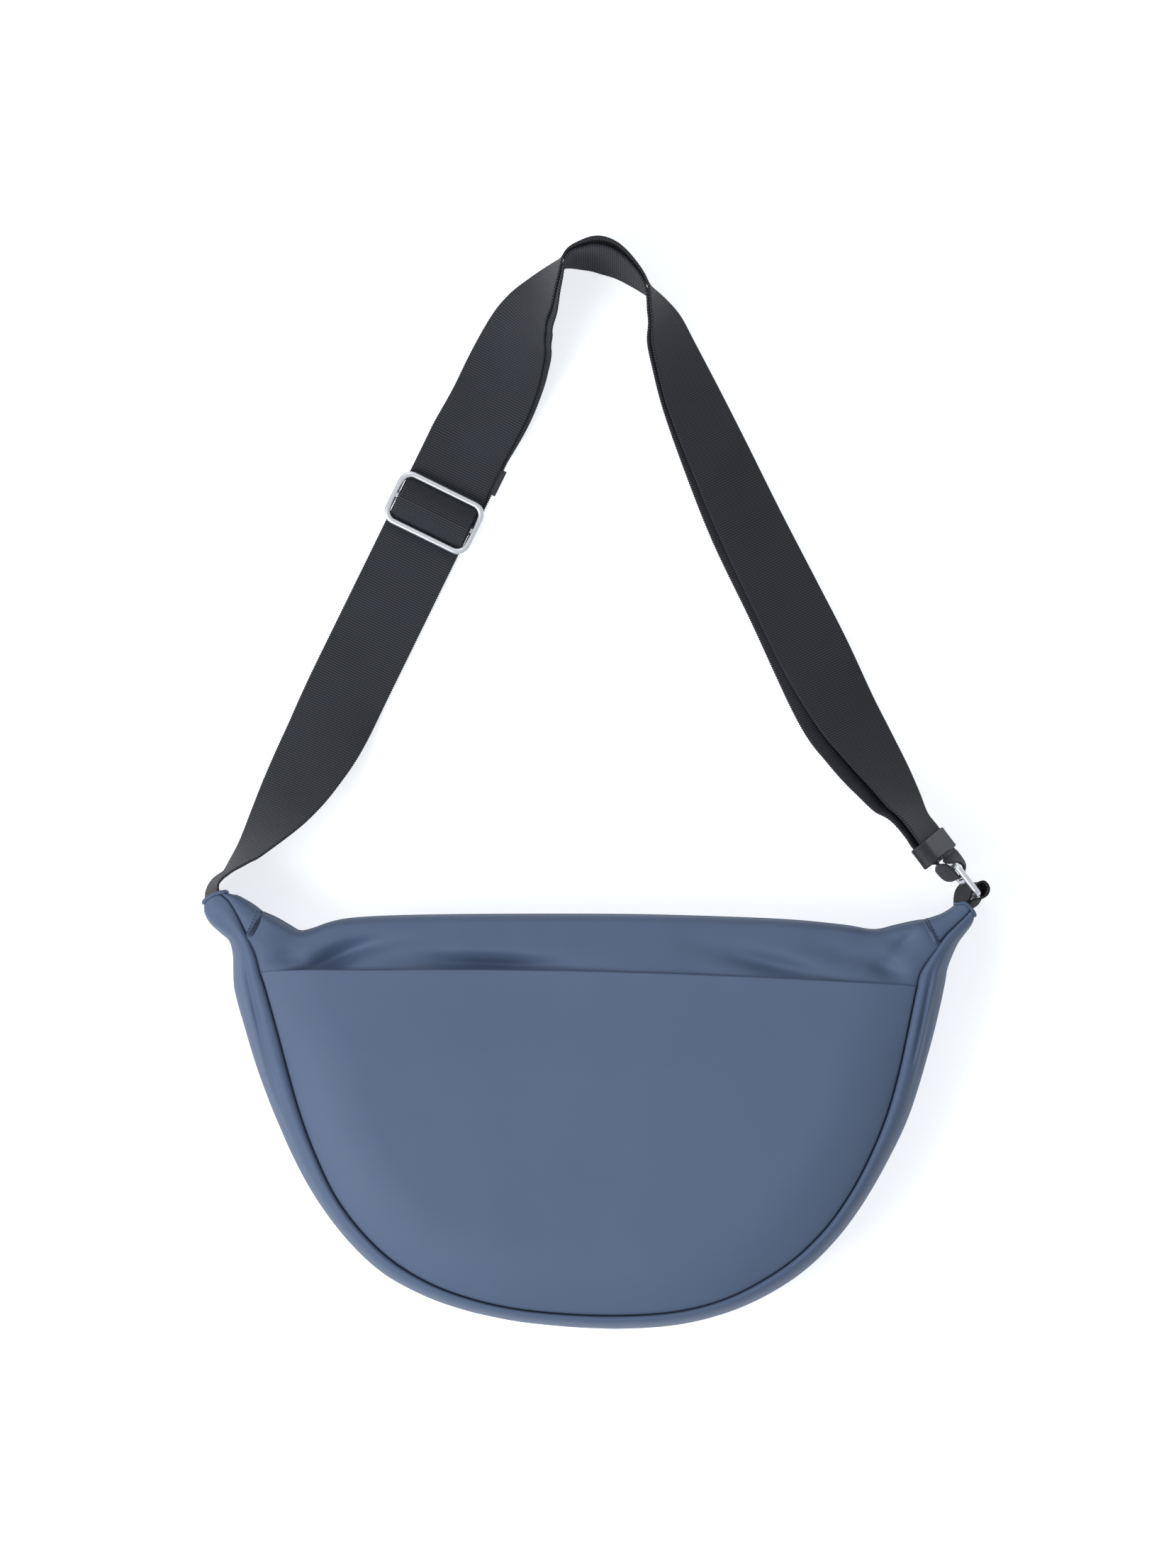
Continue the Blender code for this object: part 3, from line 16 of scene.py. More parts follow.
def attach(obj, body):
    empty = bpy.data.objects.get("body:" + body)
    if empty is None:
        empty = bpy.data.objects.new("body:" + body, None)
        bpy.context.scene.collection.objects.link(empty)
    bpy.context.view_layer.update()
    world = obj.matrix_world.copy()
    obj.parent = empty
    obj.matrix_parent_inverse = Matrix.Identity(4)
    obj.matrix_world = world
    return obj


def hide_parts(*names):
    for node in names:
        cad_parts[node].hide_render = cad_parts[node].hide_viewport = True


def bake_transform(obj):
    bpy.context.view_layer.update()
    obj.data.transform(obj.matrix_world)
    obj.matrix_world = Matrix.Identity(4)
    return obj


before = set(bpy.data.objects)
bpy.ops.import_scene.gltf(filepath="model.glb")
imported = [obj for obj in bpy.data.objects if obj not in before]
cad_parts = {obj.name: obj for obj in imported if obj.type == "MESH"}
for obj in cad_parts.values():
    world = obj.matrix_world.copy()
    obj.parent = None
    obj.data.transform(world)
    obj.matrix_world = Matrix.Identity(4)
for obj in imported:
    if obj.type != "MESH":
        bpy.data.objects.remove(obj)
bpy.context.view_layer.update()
MM = 0.001
TURN = 2 * pi

# Heights and fullness of the sewn body
FRONT_SEAM = 44.2
BACK_SEAM = 1.5
MOUTH_TOP = 45.0
MOUTH_LOW = 1.0
CLOTH = 1.0
LAP = 1.3
LAP_RISE = 0.9
LAP_REACH = 5.0
PANEL_RISE = 1.0
BAND_PUFF = 4.4
BAND_REACH = 26.0
BAND_FALL = 6.5
BAND_FALL_RUN = 30.0
BAND_FALL_REACH = 18.0
POCKET_PUFF = 10.2
PUFF_REACH = 34.0
PUFF_POWER = 2.2
# Unevenness of the cloth: depth, length, seed and how much shorter it is along y
POCKET_WAVES = ((0.55, 62.0, 3.1, 1.0), (0.22, 24.0, 7.7, 1.0))
POCKET_CALM = 14.0
BAND_WAVES = ((0.6, 34.0, 5.5, 1.6), (0.25, 13.0, 9.1, 1.0))
BAND_CALM = 9.0

# Rows down the left side, round the bottom and up the right side: where the front seam lies, and
# the gusset's outer edge beside it. The first and last five rows are the tips, from their mouths.
SEAM_AND_EDGE = (
    (-175.9, 107.6, -184.3, 103.3), (-171.7, 103.5, -183.7, 98.2), (-167.6, 96.7, -180.9, 93.0),
    (-165.0, 91.3, -176.0, 88.4), (-162.5, 86.2, -172.0, 84.4), (-159.3, 79.1, -170.4, 77.6),
    (-157.0, 70.3, -170.2, 69.6), (-154.2, 61.6, -169.2, 60.3), (-148.7, 41.9, -164.0, 41.3),
    (-143.3, 21.6, -157.0, 19.0), (-137.6, 2.2, -148.6, -1.8), (-130.4, -16.7, -139.6, -21.6),
    (-121.4, -35.2, -128.6, -40.2), (-109.3, -51.5, -115.0, -57.6), (-94.6, -65.4, -99.2, -72.0),
    (-77.0, -76.0, -80.2, -82.4), (-57.7, -83.2, -60.3, -89.4), (-36.6, -87.9, -38.2, -94.2),
    (-13.0, -90.3, -13.4, -97.0), (12.0, -91.0, 12.4, -98.0), (37.1, -89.4, 38.9, -96.2),
    (58.5, -84.4, 61.5, -90.8), (76.8, -76.0, 81.0, -82.4), (93.9, -64.6, 98.9, -70.8),
    (108.5, -50.4, 114.3, -55.8), (120.1, -34.2, 127.0, -38.7), (129.6, -16.3, 137.8, -20.0),
    (137.2, 2.3, 147.2, -0.7), (142.8, 21.7, 154.2, 19.8), (147.2, 41.8, 160.2, 41.3),
    (151.5, 62.6, 165.4, 64.0), (154.0, 71.2, 167.0, 72.6), (161.1, 81.8, 171.2, 82.8),
    (165.6, 87.8, 174.8, 88.0), (169.8, 92.0, 177.8, 92.0), (174.2, 96.2, 179.3, 94.8),
    (177.2, 99.6, 179.9, 97.2),
)
TIP_ROWS = 4
TIP_RUN = 24.0
SEAM_STEPS = 8
# The inner edges of the tips, from the patch's seam to the mouth
LEFT_INNER = ((-156.2, 98.5), (-160.7, 102.2), (-165.4, 105.2), (-169.8, 107.9), (-173.6, 108.9))
RIGHT_INNER = ((155.6, 94.8), (159.8, 96.2), (164.0, 97.9), (168.2, 100.5), (172.3, 104.0))
RIGHT_PATCH_BEND = (159.3, 88.6)
# The bag's top edge as seen from the front
TOP_LINE = (
    (-156.2, 98.5), (-150.5, 96.0), (-144.5, 92.6), (-138.9, 89.6), (-133.0, 90.6),
    (-123.3, 93.9), (-113.1, 95.6), (-94.6, 96.6), (-64.0, 97.2), (-20.0, 97.4), (20.0, 97.2),
    (61.0, 96.1), (93.7, 94.6), (118.2, 92.2), (132.1, 90.1), (142.7, 92.3), (150.9, 94.1),
    (155.6, 94.8),
)
# Profiles across a strip: how far out, and how high, from the front seam to the back seam
GUSSET_PROFILE = (
    (0.0, 1.0), (0.14, 1.035), (0.34, 1.035), (0.56, 0.985), (0.75, 0.89), (0.90, 0.75),
    (0.98, 0.60), (1.0, 0.46), (0.97, 0.32), (0.89, 0.18), (0.72, 0.07), (0.42, 0.02), (0.0, 0.0),
)
GUSSET_MOUTH_PROFILE = (
    (0.0, 1.0), (0.25, 1.0), (0.52, 0.995), (0.76, 0.975), (0.93, 0.93), (0.99, 0.84), (1.0, 0.70),
    (1.0, 0.50), (1.0, 0.30), (0.99, 0.14), (0.88, 0.03), (0.45, 0.0), (0.0, 0.0),
)
PATCH_PROFILE = (
    (0.0, 1.0), (0.25, 1.02), (0.50, 1.02), (0.74, 1.0), (0.90, 0.955), (0.99, 0.88),
    (0.99, 0.80), (0.80, 0.725), (0.66, 0.62), (0.62, 0.50), (0.66, 0.38), (0.80, 0.27),
    (0.98, 0.17), (1.0, 0.09), (0.88, 0.025), (0.50, 0.0), (0.0, 0.0),
)
PATCH_MOUTH_PROFILE = (
    (0.0, 1.0), (0.30, 1.0), (0.62, 0.995), (0.86, 0.975), (0.97, 0.94), (1.0, 0.88), (1.0, 0.80),
    (1.0, 0.72), (1.0, 0.61), (1.0, 0.50), (1.0, 0.39), (1.0, 0.28), (1.0, 0.17), (0.99, 0.09),
    (0.88, 0.025), (0.45, 0.0), (0.0, 0.0),
)
# The mouth's folded edge: share of the way to the webbing, and how far out
MOUTH_FOLD = (
    (0.0, 0.0), (0.05, 0.4), (0.13, 0.8), (0.24, 1.0), (0.38, 0.9), (0.55, 0.45), (0.72, -0.3),
    (0.88, -1.4), (1.0, -3.0), (1.0, -6.0),
)
# How far each mouth's corner is drawn back and how far it is from the middle: inner, then outer
LEFT_NOSE = (1.8, 6.7, 1.2, 5.3)
RIGHT_NOSE = (3.0, 3.45, 1.2, 6.7)
NOSE_REACH = 9.0
# Half the slot that a mouth's fold leaves for the webbing, and how much higher it is on each side
LEFT_SLOT = 4.2
RIGHT_SLOT = 3.8
SLOT_SPARE = 0.9
# A sewn edge turns down: depths and reaches. Its painted dark line and the painted shade beside it:
# shares and reaches
GROOVE = ((0.7, 0.35), (0.35, 2.4))
SEAM_LINE = (0.85, 0.36)
SEAM_SHADE = (0.06, 1.8)
# Farther from a seam than any place that it doesn't touch
FAR = 99.0
# Folds along the gusset: side, top y, low y, place across at the top and low end, height, width
GUSSET_FOLDS = (
    (-1, 80.0, 46.0, 0.62, 0.70, 1.1, 0.075), (-1, 80.0, 40.0, 0.43, 0.50, -1.5, 0.09),
    (-1, 58.0, 8.0, 0.66, 0.78, 1.2, 0.07), (-1, 60.0, 6.0, 0.50, 0.60, -1.3, 0.08),
    (-1, 100.0, 82.0, 0.55, 0.45, -1.2, 0.14), (-1, 30.0, -30.0, 0.82, 0.80, -0.9, 0.08),
    (1, 80.0, 50.0, 0.60, 0.66, 1.0, 0.08), (1, 78.0, 24.0, 0.40, 0.46, -1.7, 0.085),
    (1, 66.0, 22.0, 0.55, 0.60, 1.5, 0.055), (1, 60.0, 10.0, 0.72, 0.78, -1.2, 0.08),
    (1, 98.0, 76.0, 0.50, 0.45, -1.0, 0.14),
)
# Soft hollows of the upper band: x, y, half lengths along and across, turn in degrees, depth
BAND_HOLLOWS = (
    (-144.0, 77.5, 9.0, 3.6, 4.0, 2.4), (-122.0, 76.5, 15.0, 5.0, 24.0, 9.0),
    (-103.0, 83.0, 20.0, 4.4, 12.0, 2.6), (-50.0, 74.2, 30.0, 4.2, -2.0, 8.5),
    (84.0, 73.6, 24.0, 4.6, -14.0, 6.0), (118.0, 79.0, 15.0, 4.4, -12.0, 2.0),
    (138.0, 72.0, 9.0, 4.6, -25.0, 4.0), (146.0, 84.0, 8.0, 3.2, 50.0, 1.8),
)

# Front pocket
POCKET_LEFT = (-157.0, 70.3)
POCKET_RIGHT = (151.6, 63.4)
POCKET_CROWN = 3.2
POCKET_RISE = 0.6
EDGE_WOBBLE = 0.25
POCKET_CORE = 8.0
POCKET_CORE_REACH = 72.0
POCKET_LEAN = 0.44
POCKET_LEAN_REACH = 48.0
HEM_DROPS = (0.3, 1.5, 4.0, 7.0, 10.0, 12.5)
HEM_END = 6.0
HEM_BEHIND = 2.1
FOLD = 0.95
POCKET_CLOTH = 0.8
THIN_CLOTH = 0.6

# Top of the bag, from the lips to the zip
LIP_HEIGHT = 36.5
LIP_ROUND = 4.5
BACK_LIP = 4.3
BACK_LIP_ROUND = 1.4
ZIP_LINE = 84.6
ZIP_END = 145.0
ZIP_END_RUN = 11.0
ZIP_END_RISE = 6.4
ZIP_MIDDLE = 22.5
TAPE_NEAR = 2.7
TAPE_FAR = 11.2
TAPE_LAP = 4.5
TAPE_BED = 1.5
TAPE_TUCK = 1.1
TAPE_END = 146.0
TAPE_BEAD = 0.25
TEETH_END = 138.0
TEETH_SIZES = {"Pitch": 1.4 * MM, "X": 0.95 * MM, "Y": 1.9 * MM, "Z": 2.3 * MM}
TEETH_APART = 1.15
TEETH_SHIFT = 0.35
TEETH_SPARE = 0.6
COVER_LOW = 13.5
COVER_HEIGHT = 18.0
# Piece, side, and where it starts and ends along the zip. The right one leaves room for the pull
END_COVERS = (("zip_end_cover_left", -1, 140.5, 159.0), ("zip_end_cover_right", 1, 150.0, 157.5))

# Cloth and webbing
WEAVE_PITCH = 0.42
YARN_PITCH = 0.9
WEB = 38.0
WEB_THICK = 1.2
RIB_PITCH = 1.1
RIB_SIZES = {"Pitch": RIB_PITCH * MM, "Depth": 0.055 * MM, "Scallop": 0.16 * MM}

# The strap's path, in rows of shares of its span and rise with the webbing's tilt
LEVEL = 23.0
HALF_SPAN = 178.0
STRAP_BASE = 111.0
STRAP_RISE = 290.0
LAYER_STEP = 1.6
OUTER_Z = 2.2
LEFT_TIP = (-179.6, 105.8, 0.0)
LEFT_TIP_TURN = 118.0
LEFT_ROOT_TURN = 98.0
RIGHT_TIP_TURN = 46.5
LEFT_EDGE_SHARES = (
    (-1.030, -0.015, 80.0), (-1.022, 0.0, 81.0), (-1.009, 0.0106, 84.0), (-0.992, 0.018, 86.0),
    (-0.981, 0.0233, 86.0), (-0.969, 0.0366, 82.0), (-0.954, 0.0539, 76.0), (-0.937, 0.0758, 67.5),
    (-0.905, 0.128, 49.0),
    (-0.877, 0.172, 36.0), (-0.845, 0.218, 25.0), (-0.811, 0.264, 14.0), (-0.778, 0.310, 4.0),
)
STRAIGHT_START = (-0.7425, 0.3566)
STRAIGHT_END = (-0.4460, 0.7280)
STRAIGHT_STOPS = (0.0, 0.22, 0.90, 1.0)
ARCH_SHARES = (
    (-0.424, 0.7555, 1.0), (-0.375, 0.809, 7.0), (-0.335, 0.859, 16.0), (-0.297, 0.902, 29.0),
    (-0.260, 0.938, 41.0), (-0.220, 0.965, 51.0), (-0.175, 0.987, 62.0), (-0.128, 1.009, 76.0),
    (-0.081, 1.031, 88.0), (-0.034, 1.046, 90.0), (0.013, 1.053, 90.0), (0.060, 1.043, 90.0),
    (0.104, 1.017, 90.0), (0.149, 0.985, 87.0), (0.189, 0.958, 76.0), (0.228, 0.928, 65.0),
    (0.267, 0.883, 57.0), (0.324, 0.817, 47.0), (0.403, 0.722, 40.0), (0.493, 0.611, 34.0),
    (0.591, 0.495, 30.0), (0.668, 0.403, 28.0), (0.738, 0.310, 37.0), (0.783, 0.255, 46.0),
    (0.830, 0.197, 56.0), (0.864, 0.149, 64.0),
)
# How far the inner layer stands off the outer one and peeks out beyond it, and how far both
# layers' low edges reach in under the arch
ARCH_GAP = 4.0
ARCH_GAPS = (
    0, 0.02, 0.06, 0.08, 0.12, 0.16, 0.16, 0.12, 0.0, 0.35, 0.6, 0.5, 0.2, 0.0, 0.06, 0.1, 0.1,
    0.05, 0, 0, 0, 0, 0.3, 0.5, 0.7, 0.8,
)
PEEK = 7.0
STRAIGHT_PEEK = 0.24
PEEKS = (
    0.24, 0.3, 0.3, 0.36, 0.45, 0.65, 0.6, 0.35, 0.1, 0, 0, 0, 0, 0, 0, 0.1, 0.15, 0.2, 0.4, 0.5,
    0.45, 0.55, 0.9, 1, 1, 0.6,
)
LOW_REACH = 12.0
OUTER_REACH = 0.45
LOW_REACHES = (
    0, 0, 0, 0, 0, 0, 0.05, 0.2, 0.5, 0.8, 1, 1, 0.8, 0.5, 0.2, 0.05, 0, 0, 0, 0, 0, 0, 0, 0, 0, 0,
)
STRAP_STEPS = 6
# The arch's row where the inner layer is divided
LOOP_ROW = 22
# Rows before the first one, inside the left tip, and rows before and beyond the keeper's middle
ROOT_DISTANCES = (-9.0, -4.5)
KEEPER_DISTANCES = (-15.0, -7.5, 4.5, 6.0)
# How much of the inner layer gives way when the slider travels
INNER_GIVE = 70.0

# Slider, patch, keeper, ring
SLIDER_SHARE = 0.75
SLIDER_WIRE = 2.9
SLIDER_WIDTH = 26.9
SLIDER_LENGTH = 44.4
SLIDER_CORNER = 6.8
SLIDER_ROOM = 0.3
WRAP_OPENING = 35.0
BAR_RISE = ((-1.0, 0.0), (-0.80, 0.0), (-0.62, 0.25), (-0.32, 0.78), (0.0, 1.0))
BAR_RISE_SPARE = 0.4
BAR_RISE_NARROWER = 1.6
TAIL_START = -2.0
TAIL_END = 20.6
PATCH_START = 19.6
PATCH_LENGTH = 12.8
PATCH_PROUD = 1.6
RING_CORNER_PLACE = (168.6, 120.7, 0.0)
RING_TURN = -52.0
RING_WIDTH = 19.3
RING_LENGTH = 45.2
RING_WIRE = 2.9
RING_CORNER = 3.6
END_TILT = 93.5
KEEPER_PLACE = (161.6, 129.6, 0.0)
KEEPER_TURN = -53.0
KEEPER_TILT = 72.0
KEEPER_SLACK = 2.4
KEEPER_LENGTH = 11.0
KEEPER_ROUND = 2.8
KEEPER_WALL = 1.5
KEEPER_ROOM = 0.4
# The webbing round the ring, from the strap's bar: how far ahead, how far aside, and its tilt
RING_LOOP_ROWS = (
    (-3.6, 2.3, 78.0), (-0.5, 4.7, 86.5), (2.6, 4.6, 87.5), (4.8, 2.4, 88.0),
    (5.4, -0.4, 91.0), (4.9, -2.8, 95.0), (2.6, -4.0, 98.5), (-0.8, -4.3, 99.0),
    (-3.2, -4.8, 98.0), (-5.2, -5.4, 95.0),
)
TAB_REACH = 7.4
# The tab round its bar: how far ahead and to the left, and how much farther its top edge is to the
# left and ahead than its low edge
TAB_ROWS = (
    (-14.4, 2.2, 0.0, 0.0), (-11.0, 2.3, -0.8, 0.0), (-9.6, 2.6, -2.4, 0.0), (-8.0, 3.0, -4.6, 0.0),
    (-5.4, 3.7, -6.8, 0.0), (-2.6, 4.4, -7.0, 0.0), (0.4, 5.0, -5.2, 0.0), (2.8, 4.2, -3.4, 0.5),
    (4.4, 3.0, -0.5, 2.2), (5.4, 0.9, 0.5, 4.0), (5.0, -1.2, -2.0, 3.4), (3.2, -2.4, -2.6, 1.2),
    (0.9, -3.2, 0.4, 0.0), (-2.0, -2.5, 3.4, 0.0), (-4.8, -2.0, 3.4, 0.0), (-7.6, -1.8, 2.6, 0.0),
    (-10.5, -2.0, 0.8, 0.0), (-14.4, -2.2, 0.0, 0.0),
)

# Lining and its slip pocket
LINING_LOW = 1.6
LINING_HIGH = 39.8
# Levels of the lining: y, half width, and how far it is pressed flat
LINING_LEVELS = (
    (-81.0, 52.0, 8.0), (-76.0, 62.0, 0.8), (-62.0, 92.0, 0.0), (-40.0, 114.0, 0.0),
    (-14.0, 126.0, 0.0), (12.0, 134.0, 0.0), (38.0, 139.0, 0.0), (58.0, 143.0, 0.0),
    (70.0, 144.0, 3.0), (84.0, 143.6, 14.2),
)
LINING_PRESS = 0.94
SLIP_SIZE = (150.0, 80.0, 1.2)
SLIP_PLACE = (0.0, -50.0, 3.2)

# Stitches beside the patch seams: share along the tip, height over the cloth, and sizes
STITCH_SHARE = 0.105
STITCH_RISE = 0.12
STITCH_SIZES = {"Pitch": 1.55 * MM, "X": 0.36 * MM, "Y": 0.36 * MM, "Z": 0.95 * MM}

# Picture
TABLE_HALF = 4.0
TABLE_LEVEL = -0.0004
LAMPS = (
    ("key softbox", (-1.30, -0.50, 1.5), 1.0, 21.0),
    ("back softbox", (-0.3, 1.5, 1.4), 0.9, 4.5),
)
LAMP_AIM = (0.0, 0.1, 0.0)
SENSOR = 36.0
CAMERA_HEIGHT = 9.0
VIEW_HEIGHT = 0.7410
VIEW_CENTRE = (-0.00285, 0.1588)


# Shapes


def ease(a, b, share):
    """Goes smoothly from a to b as the share goes from 0 to 1."""
    share = np.clip(share, 0.0, 1.0)
    return a + (b - a) * share * share * (3 - 2 * share)


def swell(distance, width):
    """A soft bump: 1 in its middle, and nearly nothing two widths away."""
    return np.exp(-((distance / width) ** 2))


def heading(degrees):
    return Vector((cos(radians(degrees)), sin(radians(degrees)), 0.0))


def across(direction):
    """The level direction a quarter turn clockwise from this one."""
    return Vector((direction.y, -direction.x, 0.0))


UP = Vector((0.0, 0.0, 1.0))
# The corners of a rounded rectangle: side in x, side in y, and where its turn begins
CORNERS = ((1, 1, 0), (-1, 1, 90), (-1, -1, 180), (1, -1, 270))


def spline(points, steps):
    """A smooth curve through rows of numbers, with so many steps a span."""
    rows = np.array(points, dtype=float)
    padded = np.vstack([2 * rows[0] - rows[1], rows, 2 * rows[-1] - rows[-2]])
    shares = np.arange(steps)[:, None] / steps
    spans = []
    for index in range(len(rows) - 1):
        before, start, end, after = padded[index : index + 4]
        spans.append(
            start
            + 0.5 * shares * (end - before)
            + shares**2 * (before - 2.5 * start + 2 * end - 0.5 * after)
            + shares**3 * (1.5 * (start - end) + 0.5 * (after - before))
        )
    return np.vstack([*spans, rows[-1:]])


def travel(points):
    """How far along a line of points each one is."""
    steps = np.linalg.norm(np.diff(points, axis=0), axis=1)
    return np.concatenate([[0.0], np.cumsum(steps)])


def resample(points, places, along=None):
    """Rows of numbers read at new places along a line of points."""
    along = travel(points) if along is None else along
    return np.stack([np.interp(places, along, column) for column in np.array(points).T], axis=1)


def even(points, count):
    """The same line with so many evenly spaced points."""
    dense = spline(points, 12)
    return resample(dense, np.linspace(0.0, travel(dense)[-1], count))


def distance_to(line, x, y):
    """How far places are from a line of points, all in plan."""
    starts, ends = line[:-1, :2], line[1:, :2]
    spans = ends - starts
    places = np.stack([np.ravel(x), np.ravel(y)], axis=1)
    best = np.full(len(places), 1e9)
    for start, span in zip(starts, spans):
        share = np.clip(((places - start) @ span) / (span @ span), 0.0, 1.0)
        gap = np.linalg.norm(places - start - share[:, None] * span, axis=1)
        best = np.minimum(best, gap)
    return best.reshape(np.shape(x))


def ripple(x, y, length, seed):
    """Slow, even unevenness of cloth, from -1 to 1."""
    places = zip(np.ravel(x), np.ravel(y))
    found = [noise.noise(Vector((a / length, b / length, seed))) for a, b in places]
    return np.array(found).reshape(np.shape(x))


def uneven(x, y, waves):
    """Ripples together, each with its depth, length, seed and how much shorter it is along y."""
    return sum(depth * ripple(x, y * short, length, seed) for depth, length, seed, short in waves)


def within(distance, reach):
    """How far along a reach a distance is, from 0 to 1."""
    return np.clip(distance / reach, 0.0, 1.0)


def rounded_corners(half_x, half_y, radius, steps):
    """Places round a rectangle with round corners."""
    places = []
    for x_side, y_side, first in CORNERS:
        for step in range(steps + 1):
            turn = radians(first + 90 * step / steps)
            x = x_side * (half_x - radius) + radius * cos(turn)
            places.append((x, y_side * (half_y - radius) + radius * sin(turn)))
    return places


# Making pieces


def grid_mesh(name, grid, closed=False, flip=False, marks=None, in_plan=False):
    """A mesh of quads through rows of points in millimetres, with its cloth's lengths as UV."""
    rows, columns = grid.shape[:2]
    index = np.arange(rows * columns).reshape(rows, columns)
    places = grid
    if closed:
        index = np.hstack([index, index[:, :1]])
        places = np.concatenate([grid, grid[:, :1]], axis=1)
    if in_plan:
        lengths = places[..., :2]
    else:
        u = np.cumsum(np.linalg.norm(np.diff(places, axis=1), axis=2), axis=1)
        v = np.cumsum(np.linalg.norm(np.diff(places, axis=0), axis=2).mean(axis=1))
        u = np.hstack([np.zeros((rows, 1)), u])
        v = np.concatenate([[0.0], v])
        lengths = np.stack([u, np.broadcast_to(v[:, None], u.shape)], axis=2)
    corners = (slice(None, -1), slice(None, -1)), (slice(None, -1), slice(1, None))
    corners += (slice(1, None), slice(1, None)), (slice(1, None), slice(None, -1))
    order = corners[::-1] if flip else corners
    faces = np.stack([index[corner].ravel() for corner in order], axis=1)
    cloth = np.stack([lengths[corner].reshape(-1, 2) for corner in order], axis=1)
    mesh = bpy.data.meshes.new(name)
    mesh.from_pydata((grid.reshape(-1, 3) * MM).tolist(), [], faces.tolist())
    layer = mesh.uv_layers.new(name="Cloth")
    layer.data.foreach_set("uv", cloth.astype(np.float32).ravel())
    for mark, values in (marks or {}).items():
        attribute = mesh.attributes.new(mark, "FLOAT", "POINT")
        spread = np.broadcast_to(values, (rows, columns)).astype(np.float32)
        attribute.data.foreach_set("value", spread.ravel())
    mesh.shade_smooth()
    return mesh


@contextmanager
def edited(mesh):
    """The mesh as a bmesh to work on, which is written back at the end."""
    shape = bmesh.new()
    shape.from_mesh(mesh)
    shape.verts.ensure_lookup_table()
    yield shape
    shape.to_mesh(mesh)
    shape.free()


def merge_doubles(mesh, distance=1e-6):
    """Joins places that lie on each other, and drops the faces that this leaves without area."""
    with edited(mesh) as shape:
        bmesh.ops.remove_doubles(shape, verts=shape.verts, dist=distance)
        flat = [face for face in shape.faces if face.calc_area() < 1e-14]
        bmesh.ops.delete(shape, geom=flat, context="FACES_ONLY")
    return mesh


def add_piece(name, mesh, finish):
    """Puts a mesh into the scene in one finish."""
    piece = bpy.data.objects.new(name, mesh)
    mesh.materials.clear()
    mesh.materials.append(FINISHES[finish])
    bpy.context.scene.collection.objects.link(piece)
    return piece


def settle(piece):
    """Turns a piece and its modifiers into one plain mesh."""
    bpy.context.view_layer.update()
    graph = bpy.context.evaluated_depsgraph_get()
    mesh = bpy.data.meshes.new_from_object(piece.evaluated_get(graph), depsgraph=graph)
    piece.modifiers.clear()
    piece.data = mesh
    return piece


def thicken(piece, thickness=CLOTH):
    """Gives a cloth its thickness, behind its outer face."""
    wall = piece.modifiers.new("Cloth", "SOLIDIFY")
    wall.thickness = thickness * MM
    wall.offset = -1.0
    wall.use_quality_normals = True
    return settle(piece)


# Finishes


class Number:
    """A number in a node tree, so that sums can be written as sums."""

    def __init__(self, recipe, socket):
        self.recipe, self.socket = recipe, socket

    def sum(self, operation, first, second=0.0):
        return self.recipe.number("ShaderNodeMath", {0: first, 1: second}, operation=operation)

    def __add__(self, other):
        return self.sum("ADD", self, other)

    def __sub__(self, other):
        return self.sum("SUBTRACT", self, other)

    def __rsub__(self, other):
        return self.sum("SUBTRACT", other, self)

    def __mul__(self, other):
        return self.sum("MULTIPLY", self, other)

    def __truediv__(self, other):
        return self.sum("DIVIDE", self, other)

    def __pow__(self, other):
        return self.sum("POWER", self, other)

    def sine(self):
        return self.sum("SINE", self)

    def clipped(self):
        return self.sum("MAXIMUM", self.sum("MINIMUM", self, 1.0), 0.0)

    __radd__ = __add__
    __rmul__ = __mul__


class Recipe:
    """The nodes of one finish or of one repeating trim."""

    def __init__(self, tree):
        self.tree = tree
        tree.nodes.clear()

    def node(self, kind, feeds=None, stops=None, **settings):
        """Adds a node: its settings first, then the values or links of its sockets."""
        node = self.tree.nodes.new(kind)
        for name, value in settings.items():
            setattr(node, name, value)
        if stops:
            ramp = node.color_ramp
            while len(ramp.elements) < len(stops):
                ramp.elements.new(1.0)
            for element, (place, colour) in zip(ramp.elements, stops):
                element.position = place
                element.color = (*colour, 1.0)
        for name, value in (feeds or {}).items():
            socket = node.inputs[name]
            value = getattr(value, "socket", value)
            if isinstance(value, bpy.types.NodeSocket):
                self.tree.links.new(value, socket)
            else:
                socket.default_value = value
        return node

    def number(self, kind, feeds=None, output=0, **settings):
        return Number(self, self.node(kind, feeds, **settings).outputs[output])

    def blend(self, share, first, second, way="MIX"):
        """Mixes two colours."""
        pair = [(*part, 1.0) if isinstance(part, tuple) else part for part in (first, second)]
        feeds = {0: share, 6: pair[0], 7: pair[1]}
        return self.node("ShaderNodeMix", feeds, data_type="RGBA", blend_type=way).outputs[2]

    def grain(self, place, scale, detail=2.0, rough=0.5):
        feeds = {"Vector": place, "Scale": scale, "Detail": detail, "Roughness": rough}
        return self.number("ShaderNodeTexNoise", feeds)


def finish_recipe(name):
    material = bpy.data.materials.new(name)
    material.use_nodes = True
    return material, Recipe(material.node_tree)


def object_place(recipe):
    return recipe.node("ShaderNodeTexCoord").outputs["Object"]


def cloth_places(recipe):
    """The place on the object, and the lengths across and along the cloth in millimetres."""
    place = object_place(recipe)
    lengths = recipe.node("ShaderNodeUVMap", uv_map="Cloth").outputs[0]
    split = recipe.node("ShaderNodeSeparateXYZ", {0: lengths})
    return place, Number(recipe, split.outputs[0]), Number(recipe, split.outputs[1])


def toned(recipe, colour, tone):
    """A colour made lighter and darker by a tone."""
    shade = recipe.node("ShaderNodeCombineColor", {0: tone, 1: tone, 2: tone}).outputs[0]
    return recipe.blend(1.0, colour, shade, "MULTIPLY")


